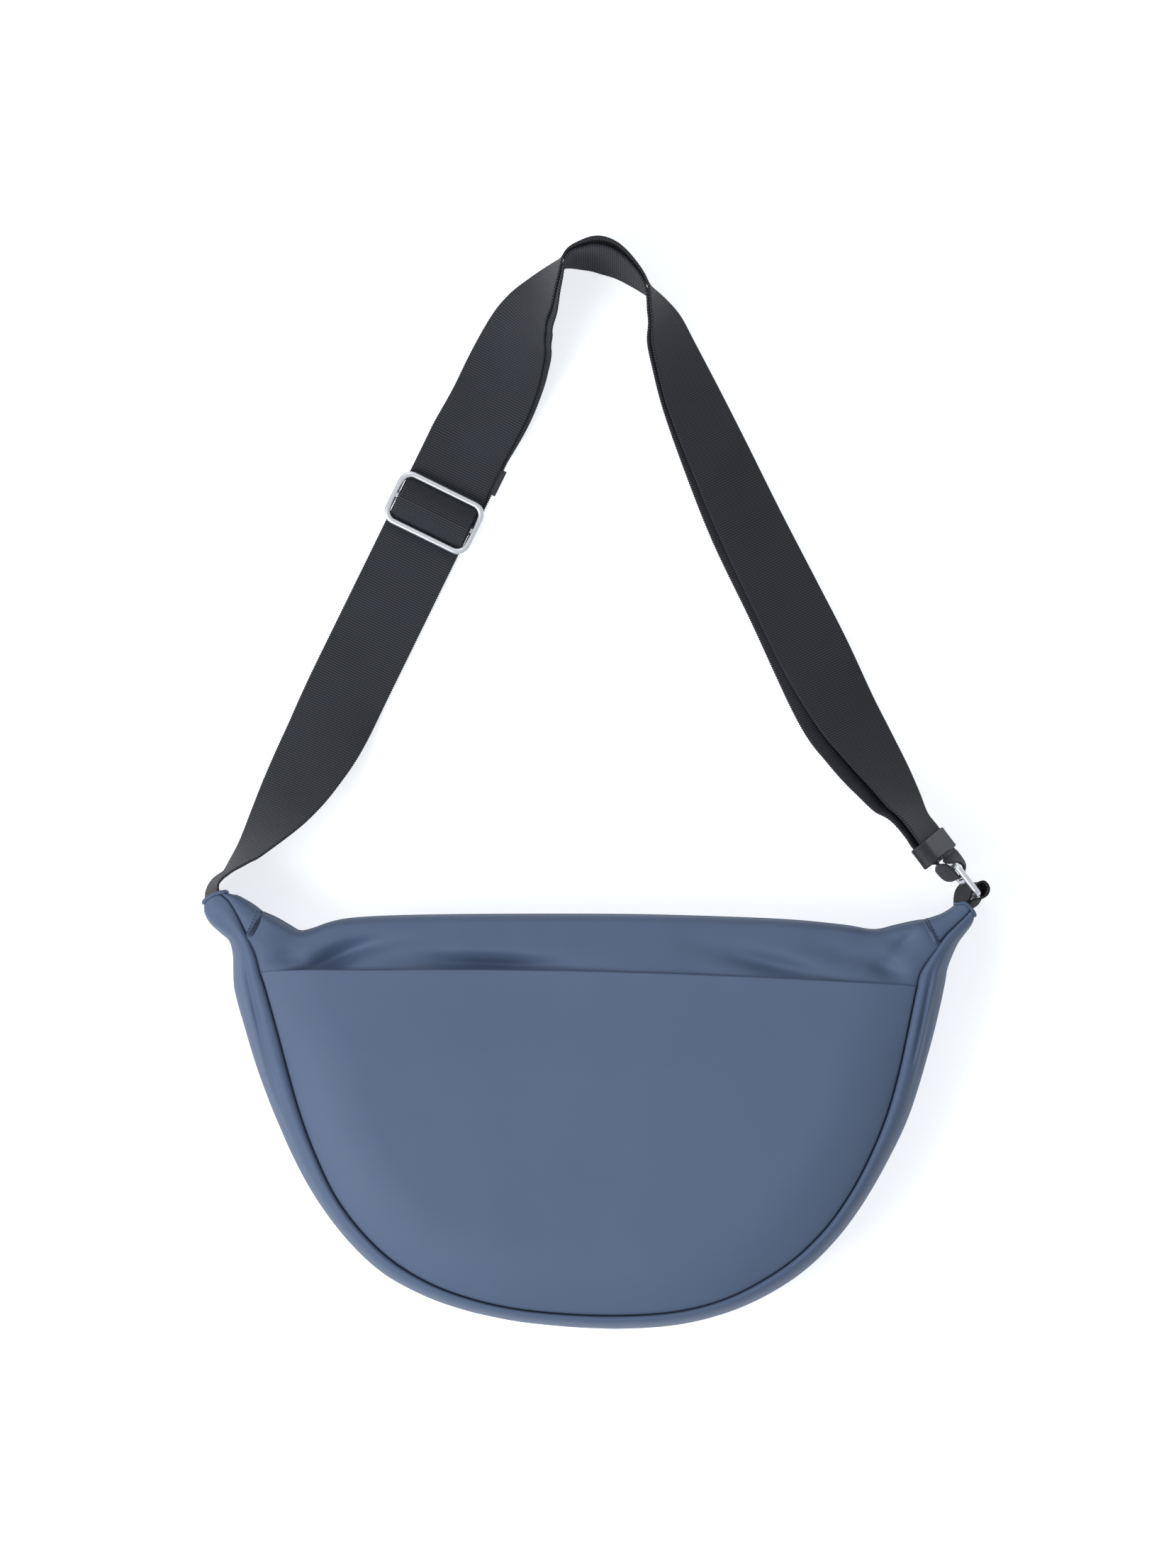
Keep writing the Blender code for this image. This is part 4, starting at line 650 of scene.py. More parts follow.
def times(colour, factor):
    return tuple(part * factor for part in colour)


def close_recipe(recipe, shader_feeds, bump, depth, strength):
    """Adds the shader with its bump, and its output."""
    feeds = {"Strength": strength, "Distance": depth, "Height": bump}
    shader_feeds["Normal"] = recipe.node("ShaderNodeBump", feeds).outputs[0]
    shader = recipe.node("ShaderNodeBsdfPrincipled", shader_feeds)
    recipe.node("ShaderNodeOutputMaterial", {"Surface": shader.outputs[0]})


def coated_nylon(name, colour, seam_shade_colour, sheen):
    """Matte coated nylon: a fine plain weave under a soft coat, with painted shade down in its
    seams.
    """
    material, recipe = finish_recipe(name)
    place, u, v = cloth_places(recipe)
    cloud = recipe.grain(place, 14.0, 3.0, 0.55)
    rub = recipe.grain(place, 90.0, 2.0, 0.6)
    speck = recipe.grain(place, 2600.0, 1.0, 0.5)
    weave = (u * (TURN / WEAVE_PITCH)).sine() * (v * (TURN / WEAVE_PITCH)).sine()
    base = toned(recipe, colour, 0.90 + cloud * 0.11 + rub * 0.06 + speck * 0.04)
    # Painted shade: the seam mark darkens the colour towards a dark navy down in the seams.
    seam = recipe.number("ShaderNodeAttribute", output=2, attribute_name="seam")
    base = recipe.blend((seam * 0.92).clipped(), base, seam_shade_colour)
    feeds = {
        "Base Color": base,
        "Roughness": 0.52 + rub * 0.12 + speck * 0.04,
        "Specular IOR Level": 0.42,
        "Sheen Weight": sheen,
        "Sheen Roughness": 0.45,
        "Sheen Tint": (0.72, 0.80, 1.0, 1.0),
    }
    close_recipe(recipe, feeds, weave * 0.35 + speck * 0.9 + rub * 1.5, 0.00004, 0.55)
    return material


def ribbed_webbing(name, colour, light):
    """Dense black webbing: ribs across it, each one a row of small twisted yarns."""
    material, recipe = finish_recipe(name)
    place, u, v = cloth_places(recipe)
    rib = (v * (TURN / RIB_PITCH)).sine() * 0.5 + 0.5
    yarn = (u * (TURN / YARN_PITCH) + v * (pi / RIB_PITCH)).sine() * 0.5 + 0.5
    fuzz = recipe.grain(place, 1500.0, 2.0, 0.6)
    cloud = recipe.grain(place, 26.0, 2.0, 0.5)
    # The rib stripes in the colour are painted shade and light: darker down between the ribs and
    # lighter on their crests. Fuzz and cloud are random tone.
    share = (rib * 0.58 + yarn * rib * 0.36 + fuzz * 0.30 + cloud * 0.22 - 0.24).clipped()
    base = recipe.blend(share, colour, light)
    feeds = {
        "Base Color": base,
        "Roughness": 0.74 + fuzz * 0.18,
        "Specular IOR Level": 0.30,
        "Sheen Weight": 0.10,
        "Sheen Roughness": 0.5,
    }
    close_recipe(recipe, feeds, rib * 0.9 + yarn * rib * 0.7 + fuzz * 0.6, 0.00012, 0.75)
    return material


def woven_tape(name, colour, light, pitch):
    """Herringbone tape and twill lining."""
    material, recipe = finish_recipe(name)
    place, u, v = cloth_places(recipe)
    slant = (u * (TURN / pitch) + v * (TURN / pitch)).sine() * 0.5 + 0.5
    fuzz = recipe.grain(place, 1300.0, 2.0, 0.6)
    cloud = recipe.grain(place, 40.0, 2.0, 0.5)
    base = recipe.blend((slant * 0.5 + fuzz * 0.3 + cloud * 0.2).clipped(), colour, light)
    feeds = {
        "Base Color": base,
        "Roughness": 0.80 + fuzz * 0.12,
        "Specular IOR Level": 0.3,
        "Sheen Weight": 0.08,
    }
    close_recipe(recipe, feeds, slant * 0.8 + fuzz * 0.7, 0.00008, 0.7)
    return material


def grained_leather(name, colour, light):
    """Leather with small pebbles, lighter along its worn edges."""
    material, recipe = finish_recipe(name)
    place = object_place(recipe)
    pebbles = recipe.number("ShaderNodeTexVoronoi", {"Vector": place, "Scale": 1150.0})
    cloud = recipe.grain(place, 120.0, 3.0, 0.6)
    wear = recipe.number("ShaderNodeAttribute", output=2, attribute_name="wear")
    share = (pebbles * 0.30 + cloud * 0.45 + wear * 0.55 - 0.12).clipped()
    base = recipe.blend(share, colour, light)
    feeds = {"Base Color": base, "Roughness": 0.50 + cloud * 0.16, "Specular IOR Level": 0.45}
    close_recipe(recipe, feeds, cloud * 0.6 - pebbles * 0.9, 0.00010, 0.6)
    return material


def brushed_metal(name, colour, rough):
    """Satin plated metal with a fine brushed unevenness."""
    material, recipe = finish_recipe(name)
    place = object_place(recipe)
    fine = recipe.grain(place, 1800.0, 2.0, 0.6)
    cloud = recipe.grain(place, 70.0, 2.0, 0.5)
    base = toned(recipe, colour, 0.90 + cloud * 0.16)
    feeds = {"Base Color": base, "Metallic": 1.0, "Roughness": rough + fine * 0.10}
    close_recipe(recipe, feeds, fine, 0.00002, 0.5)
    return material


def moulded_teeth(name, colour):
    """Nylon coil with a soft gloss on each tooth."""
    material, recipe = finish_recipe(name)
    place = object_place(recipe)
    fuzz = recipe.grain(place, 900.0, 2.0, 0.5)
    base = recipe.blend(fuzz, colour, times(colour, 2.2))
    feeds = {"Base Color": base, "Roughness": 0.36 + fuzz * 0.15}
    close_recipe(recipe, feeds, fuzz, 0.00003, 0.5)
    return material


def sewing_thread(name, colour):
    """Polyester thread, twisted."""
    material, recipe = finish_recipe(name)
    place = object_place(recipe)
    twist = recipe.grain(place, 2200.0, 2.0, 0.6)
    base = recipe.blend(twist, times(colour, 0.6), times(colour, 1.5))
    feeds = {"Base Color": base, "Roughness": 0.62 + twist * 0.1}
    close_recipe(recipe, feeds, twist, 0.00005, 0.6)
    return material


# The dark navy of the painted shade in the seams.
PAINTED_SEAM_NAVY = (0.010, 0.014, 0.024)
TWILL = (0.022, 0.026, 0.036), (0.045, 0.052, 0.070)
STRAP_BLACK = (0.010, 0.0115, 0.0145), (0.082, 0.090, 0.112)
# The tab's webbing is the strap's webbing painted darker, for the shade that it lies in by the
# ring.
TAB_SHADE_BLACK = (0.006, 0.007, 0.009), (0.036, 0.040, 0.050)
TAPE_BLACK = (0.014, 0.016, 0.021), (0.036, 0.041, 0.052)
LEATHER_BLACK = (0.018, 0.020, 0.026), (0.052, 0.058, 0.074)
# Finish, its slot, its recipe and what the recipe takes
FINISH_TABLE = (
    # The four nylon finishes are one cloth. Their small differences in colour are painted light and
    # shade: the panel, tip and gusset copies are a little darker than the pocket's, for how each
    # piece lies to the light.
    ("pocket nylon", "pocket_fabric", coated_nylon, (0.117, 0.176, 0.298), PAINTED_SEAM_NAVY, 0.06),
    ("panel nylon", "panel_fabric", coated_nylon, (0.108, 0.163, 0.278), PAINTED_SEAM_NAVY, 0.06),
    ("gusset nylon", "gusset_fabric", coated_nylon, (0.114, 0.172, 0.292), PAINTED_SEAM_NAVY, 0.10),
    ("tip nylon", "cap_fabric", coated_nylon, (0.112, 0.168, 0.285), PAINTED_SEAM_NAVY, 0.08),
    ("lining twill", "lining_fabric", woven_tape, *TWILL, 0.5),
    ("black webbing", "black_webbing", ribbed_webbing, *STRAP_BLACK),
    ("tab webbing", "black_webbing", ribbed_webbing, *TAB_SHADE_BLACK),
    ("zip tape", "black_tape", woven_tape, *TAPE_BLACK, 0.8),
    ("zip teeth", "black_coil", moulded_teeth, (0.012, 0.013, 0.016)),
    ("dark leather", "black_leather", grained_leather, *LEATHER_BLACK),
    ("satin nickel", "satin_steel", brushed_metal, (0.66, 0.69, 0.74), 0.32),
    ("gunmetal", "dark_steel", brushed_metal, (0.17, 0.175, 0.19), 0.30),
    ("navy thread", "gusset_fabric", sewing_thread, (0.020, 0.026, 0.042)),
)
FINISHES = {name: recipe(name, *values) for name, _, recipe, *values in FINISH_TABLE}


# The body's outline


OUTLINE = spline(SEAM_AND_EDGE, SEAM_STEPS)
SEAM = OUTLINE[:, :2]
EDGE = OUTLINE[:, 2:]
TIP_STATIONS = TIP_ROWS * SEAM_STEPS
SEAM_LOW = int(np.argmin(SEAM[:, 1]))
LEFT_SEAM = SEAM[: SEAM_LOW + 1][::-1]
RIGHT_SEAM = SEAM[SEAM_LOW:]
BODY_SEAM = SEAM[TIP_STATIONS : len(SEAM) - TIP_STATIONS]
TOP_CURVE = even(TOP_LINE, 200)
TO_MOUTH = np.minimum(np.arange(len(SEAM)), np.arange(len(SEAM))[::-1])
TIP_SHARE = np.clip(1 - TO_MOUTH / TIP_STATIONS, 0.0, 1.0)
PATCH_SEAMS = (
    np.array([SEAM[TIP_STATIONS], LEFT_INNER[0]]),
    even([SEAM[len(SEAM) - 1 - TIP_STATIONS], RIGHT_PATCH_BEND, RIGHT_INNER[0]], 12),
)


def top_edge(x):
    return np.interp(x, TOP_CURVE[:, 0], TOP_CURVE[:, 1])


def groove(distance):
    """How deep a sewn edge turns down at this distance from its seam."""
    return sum(depth * np.exp(-distance / reach) for depth, reach in GROOVE)


def painted_seam_shade(distance):
    """How much painted shade a seam gets at this distance: a thin dark line down in the seam and
    soft shade beside it.
    """
    line = SEAM_LINE[0] * np.exp(-((distance / SEAM_LINE[1]) ** 2))
    shade = SEAM_SHADE[0] * np.exp(-distance / SEAM_SHADE[1])
    return np.clip(line + shade, 0.0, 1.0)


def puff(distance, reach=PUFF_REACH):
    """The rise of a filled panel: none at its seam, all of it past its reach."""
    return 1 - (1 - within(distance, reach)) ** PUFF_POWER


# Front pocket


def pocket_edge(x):
    """The pocket's top edge, which slopes down a little to the right and rises between its ends."""
    share = (x - POCKET_LEFT[0]) / (POCKET_RIGHT[0] - POCKET_LEFT[0])
    line = POCKET_LEFT[1] + (POCKET_RIGHT[1] - POCKET_LEFT[1]) * share
    crown = POCKET_CROWN * np.sin(np.clip(share, 0, 1) * pi)
    wobble = EDGE_WOBBLE * np.sin(share * 23.0) * swell(share - 0.08, 0.1)
    return line + crown + wobble


def pocket_height(x, y):
    """Z of the front pocket's outer face."""
    distance = distance_to(BODY_SEAM, x, y)
    lean = 1 - POCKET_LEAN * ease(0.0, 1.0, 1 - (pocket_edge(x) - y) / POCKET_LEAN_REACH)
    rise = POCKET_PUFF * puff(distance) * lean
    wave = uneven(x, y, POCKET_WAVES) * within(distance, POCKET_CALM)
    base = FRONT_SEAM + PANEL_RISE + POCKET_RISE
    return base + rise + wave - groove(distance), distance


def pocket_grid():
    """Columns from the fold behind the pocket's edge down through its middle to the curved seam."""
    seam = BODY_SEAM
    turn = SEAM_LOW - TIP_STATIONS
    left = np.interp(-POCKET_LEFT[1], -seam[:turn, 1], np.arange(turn))
    right = turn + np.interp(POCKET_RIGHT[1], seam[turn:, 1], np.arange(len(seam) - turn))
    low = resample(seam, np.linspace(left, right, 320), np.arange(len(seam)))
    share = travel(low) / travel(low)[-1]
    top = np.stack([low[0, 0] + (low[-1, 0] - low[0, 0]) * share, 0 * share], axis=1)
    top[:, 1] = pocket_edge(top[:, 0])
    top[[0, -1]] = low[[0, -1]]
    left_core, right_core = ((side * POCKET_CORE_REACH, POCKET_CORE) for side in (-1, 1))
    core_line = np.array([low[0], left_core, right_core, low[-1]])
    core = resample(core_line, share * travel(core_line)[-1])
    shares = np.linspace(0.0, 1.0, 40)
    columns = []
    for middle, high, place in zip(core, top, low):
        upper, lower = towards(middle, high, shares), towards(middle, place, shares)
        columns.append(np.vstack([upper[::-1], lower[1:]]))
    return np.array(columns)


def towards(core, end, shares):
    """Places from the core out to the seam, closer together near the seam."""
    back = (1 - shares) ** 1.75
    return end + (core - end) * back[:, None]


def make_pocket():
    plan = pocket_grid()
    z, distance = pocket_height(plan[..., 0], plan[..., 1])
    face = np.dstack([plan, z])
    size = within(distance[:, :1], 4.0)
    turns = np.radians(np.linspace(180.0, 0.0, 10)[:-1])[None, :]
    fold = np.dstack([
        plan[:, :1, 0] + 0 * turns,
        plan[:, :1, 1] + FOLD * 0.8 * size * np.sin(turns),
        z[:, :1] - FOLD * size * (1 - np.cos(turns)),
    ])
    grid = np.hstack([fold, face])
    mark = painted_seam_shade(np.hstack([distance[:, :1] + 0 * turns, distance]))
    mesh = grid_mesh("front_pocket_panel", grid, marks={"seam": mark}, in_plan=True)
    piece = add_piece("front_pocket_panel", merge_doubles(mesh), "pocket nylon")
    piece = thicken(piece, POCKET_CLOTH)
    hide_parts("front_pocket")
    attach(piece, "bag")
    make_hem()


def make_hem():
    """The facing behind the pocket's top edge."""
    x = np.linspace(POCKET_LEFT[0] + HEM_END, POCKET_RIGHT[0] - HEM_END, 200)
    edge = pocket_edge(x)
    rows = []
    for drop in HEM_DROPS:
        height, _ = pocket_height(x, edge - drop)
        behind = HEM_BEHIND + 0.2 * drop / HEM_DROPS[-1]
        rows.append(np.stack([x, edge - drop, height - behind], axis=1))
    mesh = grid_mesh("pocket_hem_facing", np.array(rows), flip=True, marks={"seam": 0.0})
    piece = thicken(add_piece("pocket_hem_facing", mesh, "pocket nylon"), THIN_CLOTH)
    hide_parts("pocket_hem")
    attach(piece, "bag")


# Front panel, back strip and back panel


def band_height(x, y, distance):
    """Z of the front panel's outer face, with the hollows above the pocket."""
    to_top = within(top_edge(x) - y, BAND_FALL_RUN)
    fall = BAND_FALL * (1 - to_top) ** 1.2 * ease(0.0, 1.0, distance / BAND_FALL_REACH)
    z = FRONT_SEAM + PANEL_RISE + BAND_PUFF * puff(distance, BAND_REACH) - fall
    for cx, cy, long, wide, turn, depth in BAND_HOLLOWS:
        c, s = cos(radians(turn)), sin(radians(turn))
        along = (x - cx) * c + (y - cy) * s
        aside = -(x - cx) * s + (y - cy) * c
        z = z - depth * swell(along, long) * swell(aside, wide)
    return z + uneven(x, y, BAND_WAVES) * within(distance, BAND_CALM)


def side_line(seam, patch_seam, low):
    """One side of the front panel: up the main seam from a low place, then up the patch's seam."""
    part = seam[(seam[:, 1] >= low) & (seam[:, 1] <= patch_seam[0][1])]
    return np.vstack([part, patch_seam[1:]])


def panel_plan(low, count, columns):
    """Rows of plan places from a low level up to the top edge, from side to side."""
    left = side_line(LEFT_SEAM, PATCH_SEAMS[0], low)
    right = side_line(RIGHT_SEAM, PATCH_SEAMS[1], low)
    shares = np.linspace(0.0, 1.0, count)
    left = resample(left, shares * travel(left)[-1])
    right = resample(right, shares * travel(right)[-1])
    places = 0.5 - 0.5 * np.cos(pi * np.linspace(0.0, 1.0, columns))
    places = 0.35 * np.linspace(0.0, 1.0, columns) + 0.65 * places
    plan = left[:, None] + (right - left)[:, None] * places[None, :, None]
    lift = top_edge(plan[-1, :, 0]) - plan[-1, :, 1]
    plan[..., 1] += lift * shares[:, None] ** 1.5
    return plan


def recess(x):
    """Y of the zip's bed, which comes forward at both ends."""
    return ZIP_LINE + ZIP_END_RISE * ease(0.0, 1.0, (np.abs(x) - ZIP_END) / ZIP_END_RUN)


def run_to_zip(x, lip, height, lap_z, levels, length, seed):
    """Rows of a strip from its lip in to the zip's tape, and its turned under end."""
    lap_y = recess(x) + TAPE_BED
    rows = []
    for share in levels:
        dip = 0.5 * ripple(x, 0 * x + share * 20, length, seed) * sin(share * pi)
        y = ease(lip, lap_y, share * 1.05) + dip
        rows.append(np.stack([x, y, height + (lap_z - height) * share + 0 * x], axis=1))
    under = 0.25 * np.sign(ZIP_MIDDLE - lap_z)
    rows.append(np.stack([x, lap_y - TAPE_TUCK, lap_z + under + 0 * x], axis=1))
    return rows


def make_front_panel():
    plan = panel_plan(34.0, 90, 220)
    x, y = plan[..., 0], plan[..., 1]
    to_seam = distance_to(BODY_SEAM, x, y)
    distance = np.minimum(to_seam, np.minimum(*[distance_to(s, x, y) for s in PATCH_SEAMS]))
    y = y - LIP_ROUND * (np.linspace(0.0, 1.0, len(plan)) ** 6)[:, None]
    z = band_height(x, y, distance) - groove(to_seam)
    x, y, z, distance = tuck_under(x, y, z, to_seam)
    top_x, top_y, top_z = x[-1], y[-1], z[-1]
    edge = []
    for turn in np.radians(np.linspace(0.0, 90.0, 9)[1:]):
        height = LIP_HEIGHT + (top_z - LIP_HEIGHT) * cos(turn)
        edge.append(np.stack([top_x, top_y + LIP_ROUND * sin(turn), height], axis=1))
    lap_z = ZIP_MIDDLE + TAPE_FAR - TAPE_LAP
    levels = np.linspace(0.0, 1.0, 10)[1:]
    edge += run_to_zip(top_x, top_y + LIP_ROUND, LIP_HEIGHT, lap_z, levels, 30.0, 2.2)
    grid = np.concatenate([np.dstack([x, y, z]), edge])
    mark = np.concatenate([painted_seam_shade(distance), [painted_seam_shade(distance[-1])] * len(edge)])
    mesh = grid_mesh("front_panel_cloth", grid, marks={"seam": mark})
    piece = thicken(add_piece("front_panel_cloth", mesh, "panel nylon"))
    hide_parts("front_panel")
    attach(piece, "bag")
    make_under_panel()


def tuck_under(x, y, z, distance):
    """Adds an allowance at both sides, which runs on under the tips' patches."""
    out, ahead, down = 2.6, 0.9, 0.9
    rise = ease(0.0, 1.0, (y[:, :1] - 82.0) / 4.0)
    places = np.stack([x, y, z, distance])
    step = np.array((out, ahead, -down, 0.0))[:, None, None] * rise
    left, right = places[..., :1] + step, places[..., -1:] + step
    left[0] -= 2 * step[0]
    return np.concatenate([left, places, right], axis=2)


def make_under_panel():
    """The lower part of the front panel, behind the pocket."""
    low, high = -88.5, 36.0
    y_levels = low + (high - low) * np.linspace(0.0, 1.0, 60) ** 1.5
    left = np.interp(y_levels, LEFT_SEAM[:, 1], LEFT_SEAM[:, 0])
    right = np.interp(y_levels, RIGHT_SEAM[:, 1], RIGHT_SEAM[:, 0])
    places = 0.5 - 0.5 * np.cos(pi * np.linspace(0.0, 1.0, 90))
    x = left[:, None] + (right - left)[:, None] * places[None, :]
    y = np.broadcast_to(y_levels[:, None], x.shape)
    distance = distance_to(BODY_SEAM, x, y)
    z = FRONT_SEAM + 0.2 + BAND_PUFF * puff(distance, BAND_REACH) - 0.6 * np.exp(-distance / 0.6)
    grid = np.dstack([x, y, z])
    mesh = grid_mesh("front_panel_under_pocket", grid, marks={"seam": 0.0}, in_plan=True)
    piece = add_piece("front_panel_under_pocket", mesh, "panel nylon")
    piece = thicken(piece, POCKET_CLOTH)
    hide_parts("front_panel")
    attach(piece, "bag")


def make_back_strip():
    """The strip from the back seam round to the zip's lower tape."""
    x = np.linspace(LEFT_INNER[0][0] - 0.4, RIGHT_INNER[0][0] + 0.4, 220)
    lip = top_edge(x) - 0.8
    bend, low = lip - BACK_LIP_ROUND, 1.6
    rows = [np.stack([x, bend - 3.2, low + 0 * x], axis=1)]
    rows.append(np.stack([x, bend, low - 0.05 + 0 * x], axis=1))
    for turn in np.radians(np.linspace(-90.0, 0.0, 7)):
        height = BACK_LIP + (BACK_LIP - low) * sin(turn)
        rows.append(np.stack([x, bend + BACK_LIP_ROUND * cos(turn), height + 0 * x], axis=1))
    lap_z = ZIP_MIDDLE - TAPE_FAR + TAPE_LAP
    levels = np.linspace(0.0, 1.0, 12)[1:]
    rows += run_to_zip(x, lip, BACK_LIP, lap_z, levels, 26.0, 8.2)
    mesh = grid_mesh("back_top_strip_cloth", np.array(rows), marks={"seam": 0.0})
    piece = thicken(add_piece("back_top_strip_cloth", mesh, "panel nylon"))
    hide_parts("back_top_strip")
    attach(piece, "bag")


def make_back_panel():
    """The flat back, which lies on the table, a little hollow inside its seam."""
    seam = BODY_SEAM
    inside = np.clip(seam[:, 0], TOP_LINE[0][0], TOP_LINE[-1][0])
    top = np.stack([seam[:, 0], top_edge(inside) - 1.0], axis=1)
    top[:, 1] = np.maximum(top[:, 1], seam[:, 1])
    columns = []
    for low, high in zip(seam, top):
        core = np.array((low[0] * 0.45, 10.0))
        upper = high + (core - high) * (np.linspace(0.0, 1.0, 18) ** 1.6)[:, None]
        lower = towards(core, low, np.linspace(0.0, 1.0, 26))
        columns.append(np.vstack([upper, lower[1:]]))
    plan = np.array(columns)
    x, y = plan[..., 0], plan[..., 1]
    distance = distance_to(BODY_SEAM, x, y)
    wave = 0.12 * (0.5 + 0.5 * ripple(x, y, 40.0, 1.3))
    z = 0.08 + CLOTH + 0.25 * np.exp(-distance / 1.2) + wave
    marks = {"seam": painted_seam_shade(distance)}
    mesh = grid_mesh("back_panel_cloth", np.dstack([plan, z]), flip=True, marks=marks, in_plan=True)
    piece = thicken(add_piece("back_panel_cloth", merge_doubles(mesh), "panel nylon"))
    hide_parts("back_panel")
    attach(piece, "bag")


# Gusset and tips


def profile_rows(start, end, shares, count):
    """Profiles that go from one shape to another, one row for each share."""
    a, b = even(start, count), even(end, count)
    return a[None] + (b - a)[None] * np.asarray(shares)[:, None, None]


def seam_heights(tip_share):
    """Z of the front and back seam, from the body, 0, to a tip's mouth, 1."""
    front = FRONT_SEAM + (MOUTH_TOP - FRONT_SEAM) * tip_share
    return front, BACK_SEAM + (MOUTH_LOW - BACK_SEAM) * tip_share


def mouth_axes(side):
    """A mouth's middle, the direction out of it, and the one across it away from the bag's top."""
    if side < 0:
        out = heading(LEFT_TIP_TURN)
        return np.array(LEFT_TIP), np.array(out), np.array(-across(out))
    out = heading(RIGHT_TIP_TURN)
    return np.array(ring_bar(1) - out * TAB_REACH), np.array(out), np.array(across(out))


def rounded_nose(places, side):
    """The same places with the mouth's corners drawn back into a round nose."""
    tip, out, over = mouth_axes(side)
    inner_back, inner_reach, outer_back, outer_reach = LEFT_NOSE if side < 0 else RIGHT_NOSE
    offset = (places - tip) * np.array((1.0, 1.0, 0.0))
    ahead, aside = offset @ out, offset @ over
    back = inner_back * np.clip(-aside / inner_reach, 0.0, 1.3) ** 2
    back = back + outer_back * np.clip(aside / outer_reach, 0.0, 1.3) ** 2
    near = np.clip(1 + ahead / NOSE_REACH, 0.0, 1.0) ** 2 * (np.abs(aside) < 2 * NOSE_REACH)
    return places - out * (back * near)[..., None]


def make_gusset():
    """The strip round the curved side, from mouth to mouth, with its folds."""
    profile = profile_rows(GUSSET_PROFILE, GUSSET_MOUTH_PROFILE, ease(0.0, 1.0, TIP_SHARE), 61)
    beside_seam = profile[:, :1] * 0.6 + profile[:, 1:2] * 0.4
    profile = np.concatenate([profile[:, :1], beside_seam, profile[:, 1:]], axis=1)
    out, height = profile[..., 0], profile[..., 1]
    high, low = seam_heights(TIP_SHARE)
    plan = SEAM[:, None] + (EDGE - SEAM)[:, None] * out[..., None]
    z = low[:, None] + (high - low)[:, None] * height
    y = SEAM[:, 1][:, None]
    side = np.sign(SEAM[:, 0])[:, None]
    upper = ease(0.0, 1.0, (height - 0.45) / 0.25)
    for fold_side, top, bottom, place_top, place_low, rise, width in GUSSET_FOLDS:
        share = np.clip((top - y) / (top - bottom), 0.0, 1.0)
        window = np.sin(share * pi) ** 0.8 * (side == fold_side)
        place = place_top + (place_low - place_top) * share
        z = z + rise * window * swell(out - place, width) * upper
    reach = np.linalg.norm(EDGE - SEAM, axis=1)[:, None]
    to_front = np.where(height > 0.5, out * reach, FAR)
    to_back = np.where(height < 0.5, out * reach, FAR)
    slack = 0.45 * ripple(plan[..., 0], plan[..., 1] + z * 1.4, 17.0, 4.4)
    z = z + slack * upper * within(to_front, 3.0)
    z = z - groove(to_front) + 0.5 * np.exp(-to_back / 0.6)
    swing = (slack * (1 - upper) * 0.8 * np.sin(np.clip(height, 0, 1) * pi))[..., None]
    outward = (EDGE - SEAM) / reach
    plan = plan + outward[:, None] * np.minimum(swing, 0.0)
    grid = rounded_nose(rounded_nose(np.dstack([plan, z]), -1), 1)
    marks = {"seam": np.maximum(painted_seam_shade(to_front), painted_seam_shade(to_back))}
    mesh = grid_mesh("gusset_cloth", grid, marks=marks)
    piece = thicken(add_piece("gusset_cloth", mesh, "gusset nylon"))
    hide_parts("gusset")
    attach(piece, "bag")


def tip_stations(side):
    """Plan places of one tip from its patch seam to its mouth: seam, outer edge, inner edge."""
    picks = slice(TIP_STATIONS, None, -1) if side < 0 else slice(len(SEAM) - 1 - TIP_STATIONS, None)
    inner = spline(LEFT_INNER if side < 0 else RIGHT_INNER, SEAM_STEPS)
    return SEAM[picks], EDGE[picks], inner


def make_tip(side, name, node):
    """The patch that closes one end on the zip's side, and the turned in hem of the mouth."""
    seam, edge, inner = tip_stations(side)
    share = np.linspace(0.0, 1.0, len(seam))
    share_fine = np.concatenate([[0.0, 0.012, 0.03, 0.06], share[1:]])
    seam, edge, inner = (resample(line, share_fine, share) for line in (seam, edge, inner))
    profile = profile_rows(PATCH_PROFILE, PATCH_MOUTH_PROFILE, ease(0.0, 1.0, share_fine), 65)
    out, height = profile[..., 0], profile[..., 1]
    high, low = seam_heights(share_fine)
    plan = seam[:, None] + (inner - seam)[:, None] * out[..., None]
    z = low[:, None] + (high - low)[:, None] * height
    reach = np.linalg.norm(inner - seam, axis=1)[:, None]
    to_front = np.where(height > 0.5, out * reach, FAR)
    to_cap = np.broadcast_to((share_fine * TIP_RUN)[:, None], z.shape)
    upper = ease(0.0, 1.0, (height - 0.6) / 0.3)
    lap = np.exp(-to_cap / 1.5) * upper * within(to_front, 1.5)
    ahead = (inner[:1] - seam[:1]) / np.linalg.norm(inner[0] - seam[0])
    x, y = ahead.T
    ahead = np.stack([-side * np.abs(y), side * x * np.sign(y)], axis=1)
    plan = plan + ahead[:, None] * LAP * lap[..., None]
    step = LAP_RISE * np.exp(-to_cap / LAP_REACH) - 0.5 * np.exp(-to_cap / 0.3)
    z = z - groove(to_front) + step * upper
    marks = {"seam": np.maximum(painted_seam_shade(to_front), 0.7 * painted_seam_shade(to_cap))}
    mesh = grid_mesh(name, rounded_nose(np.dstack([plan, z]), side), flip=side > 0, marks=marks)
    piece = thicken(add_piece(name, mesh, "tip nylon"))
    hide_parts(node)
    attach(piece, "bag")
    make_mouth(side, name + "_mouth", seam[-1], edge[-1], inner[-1])


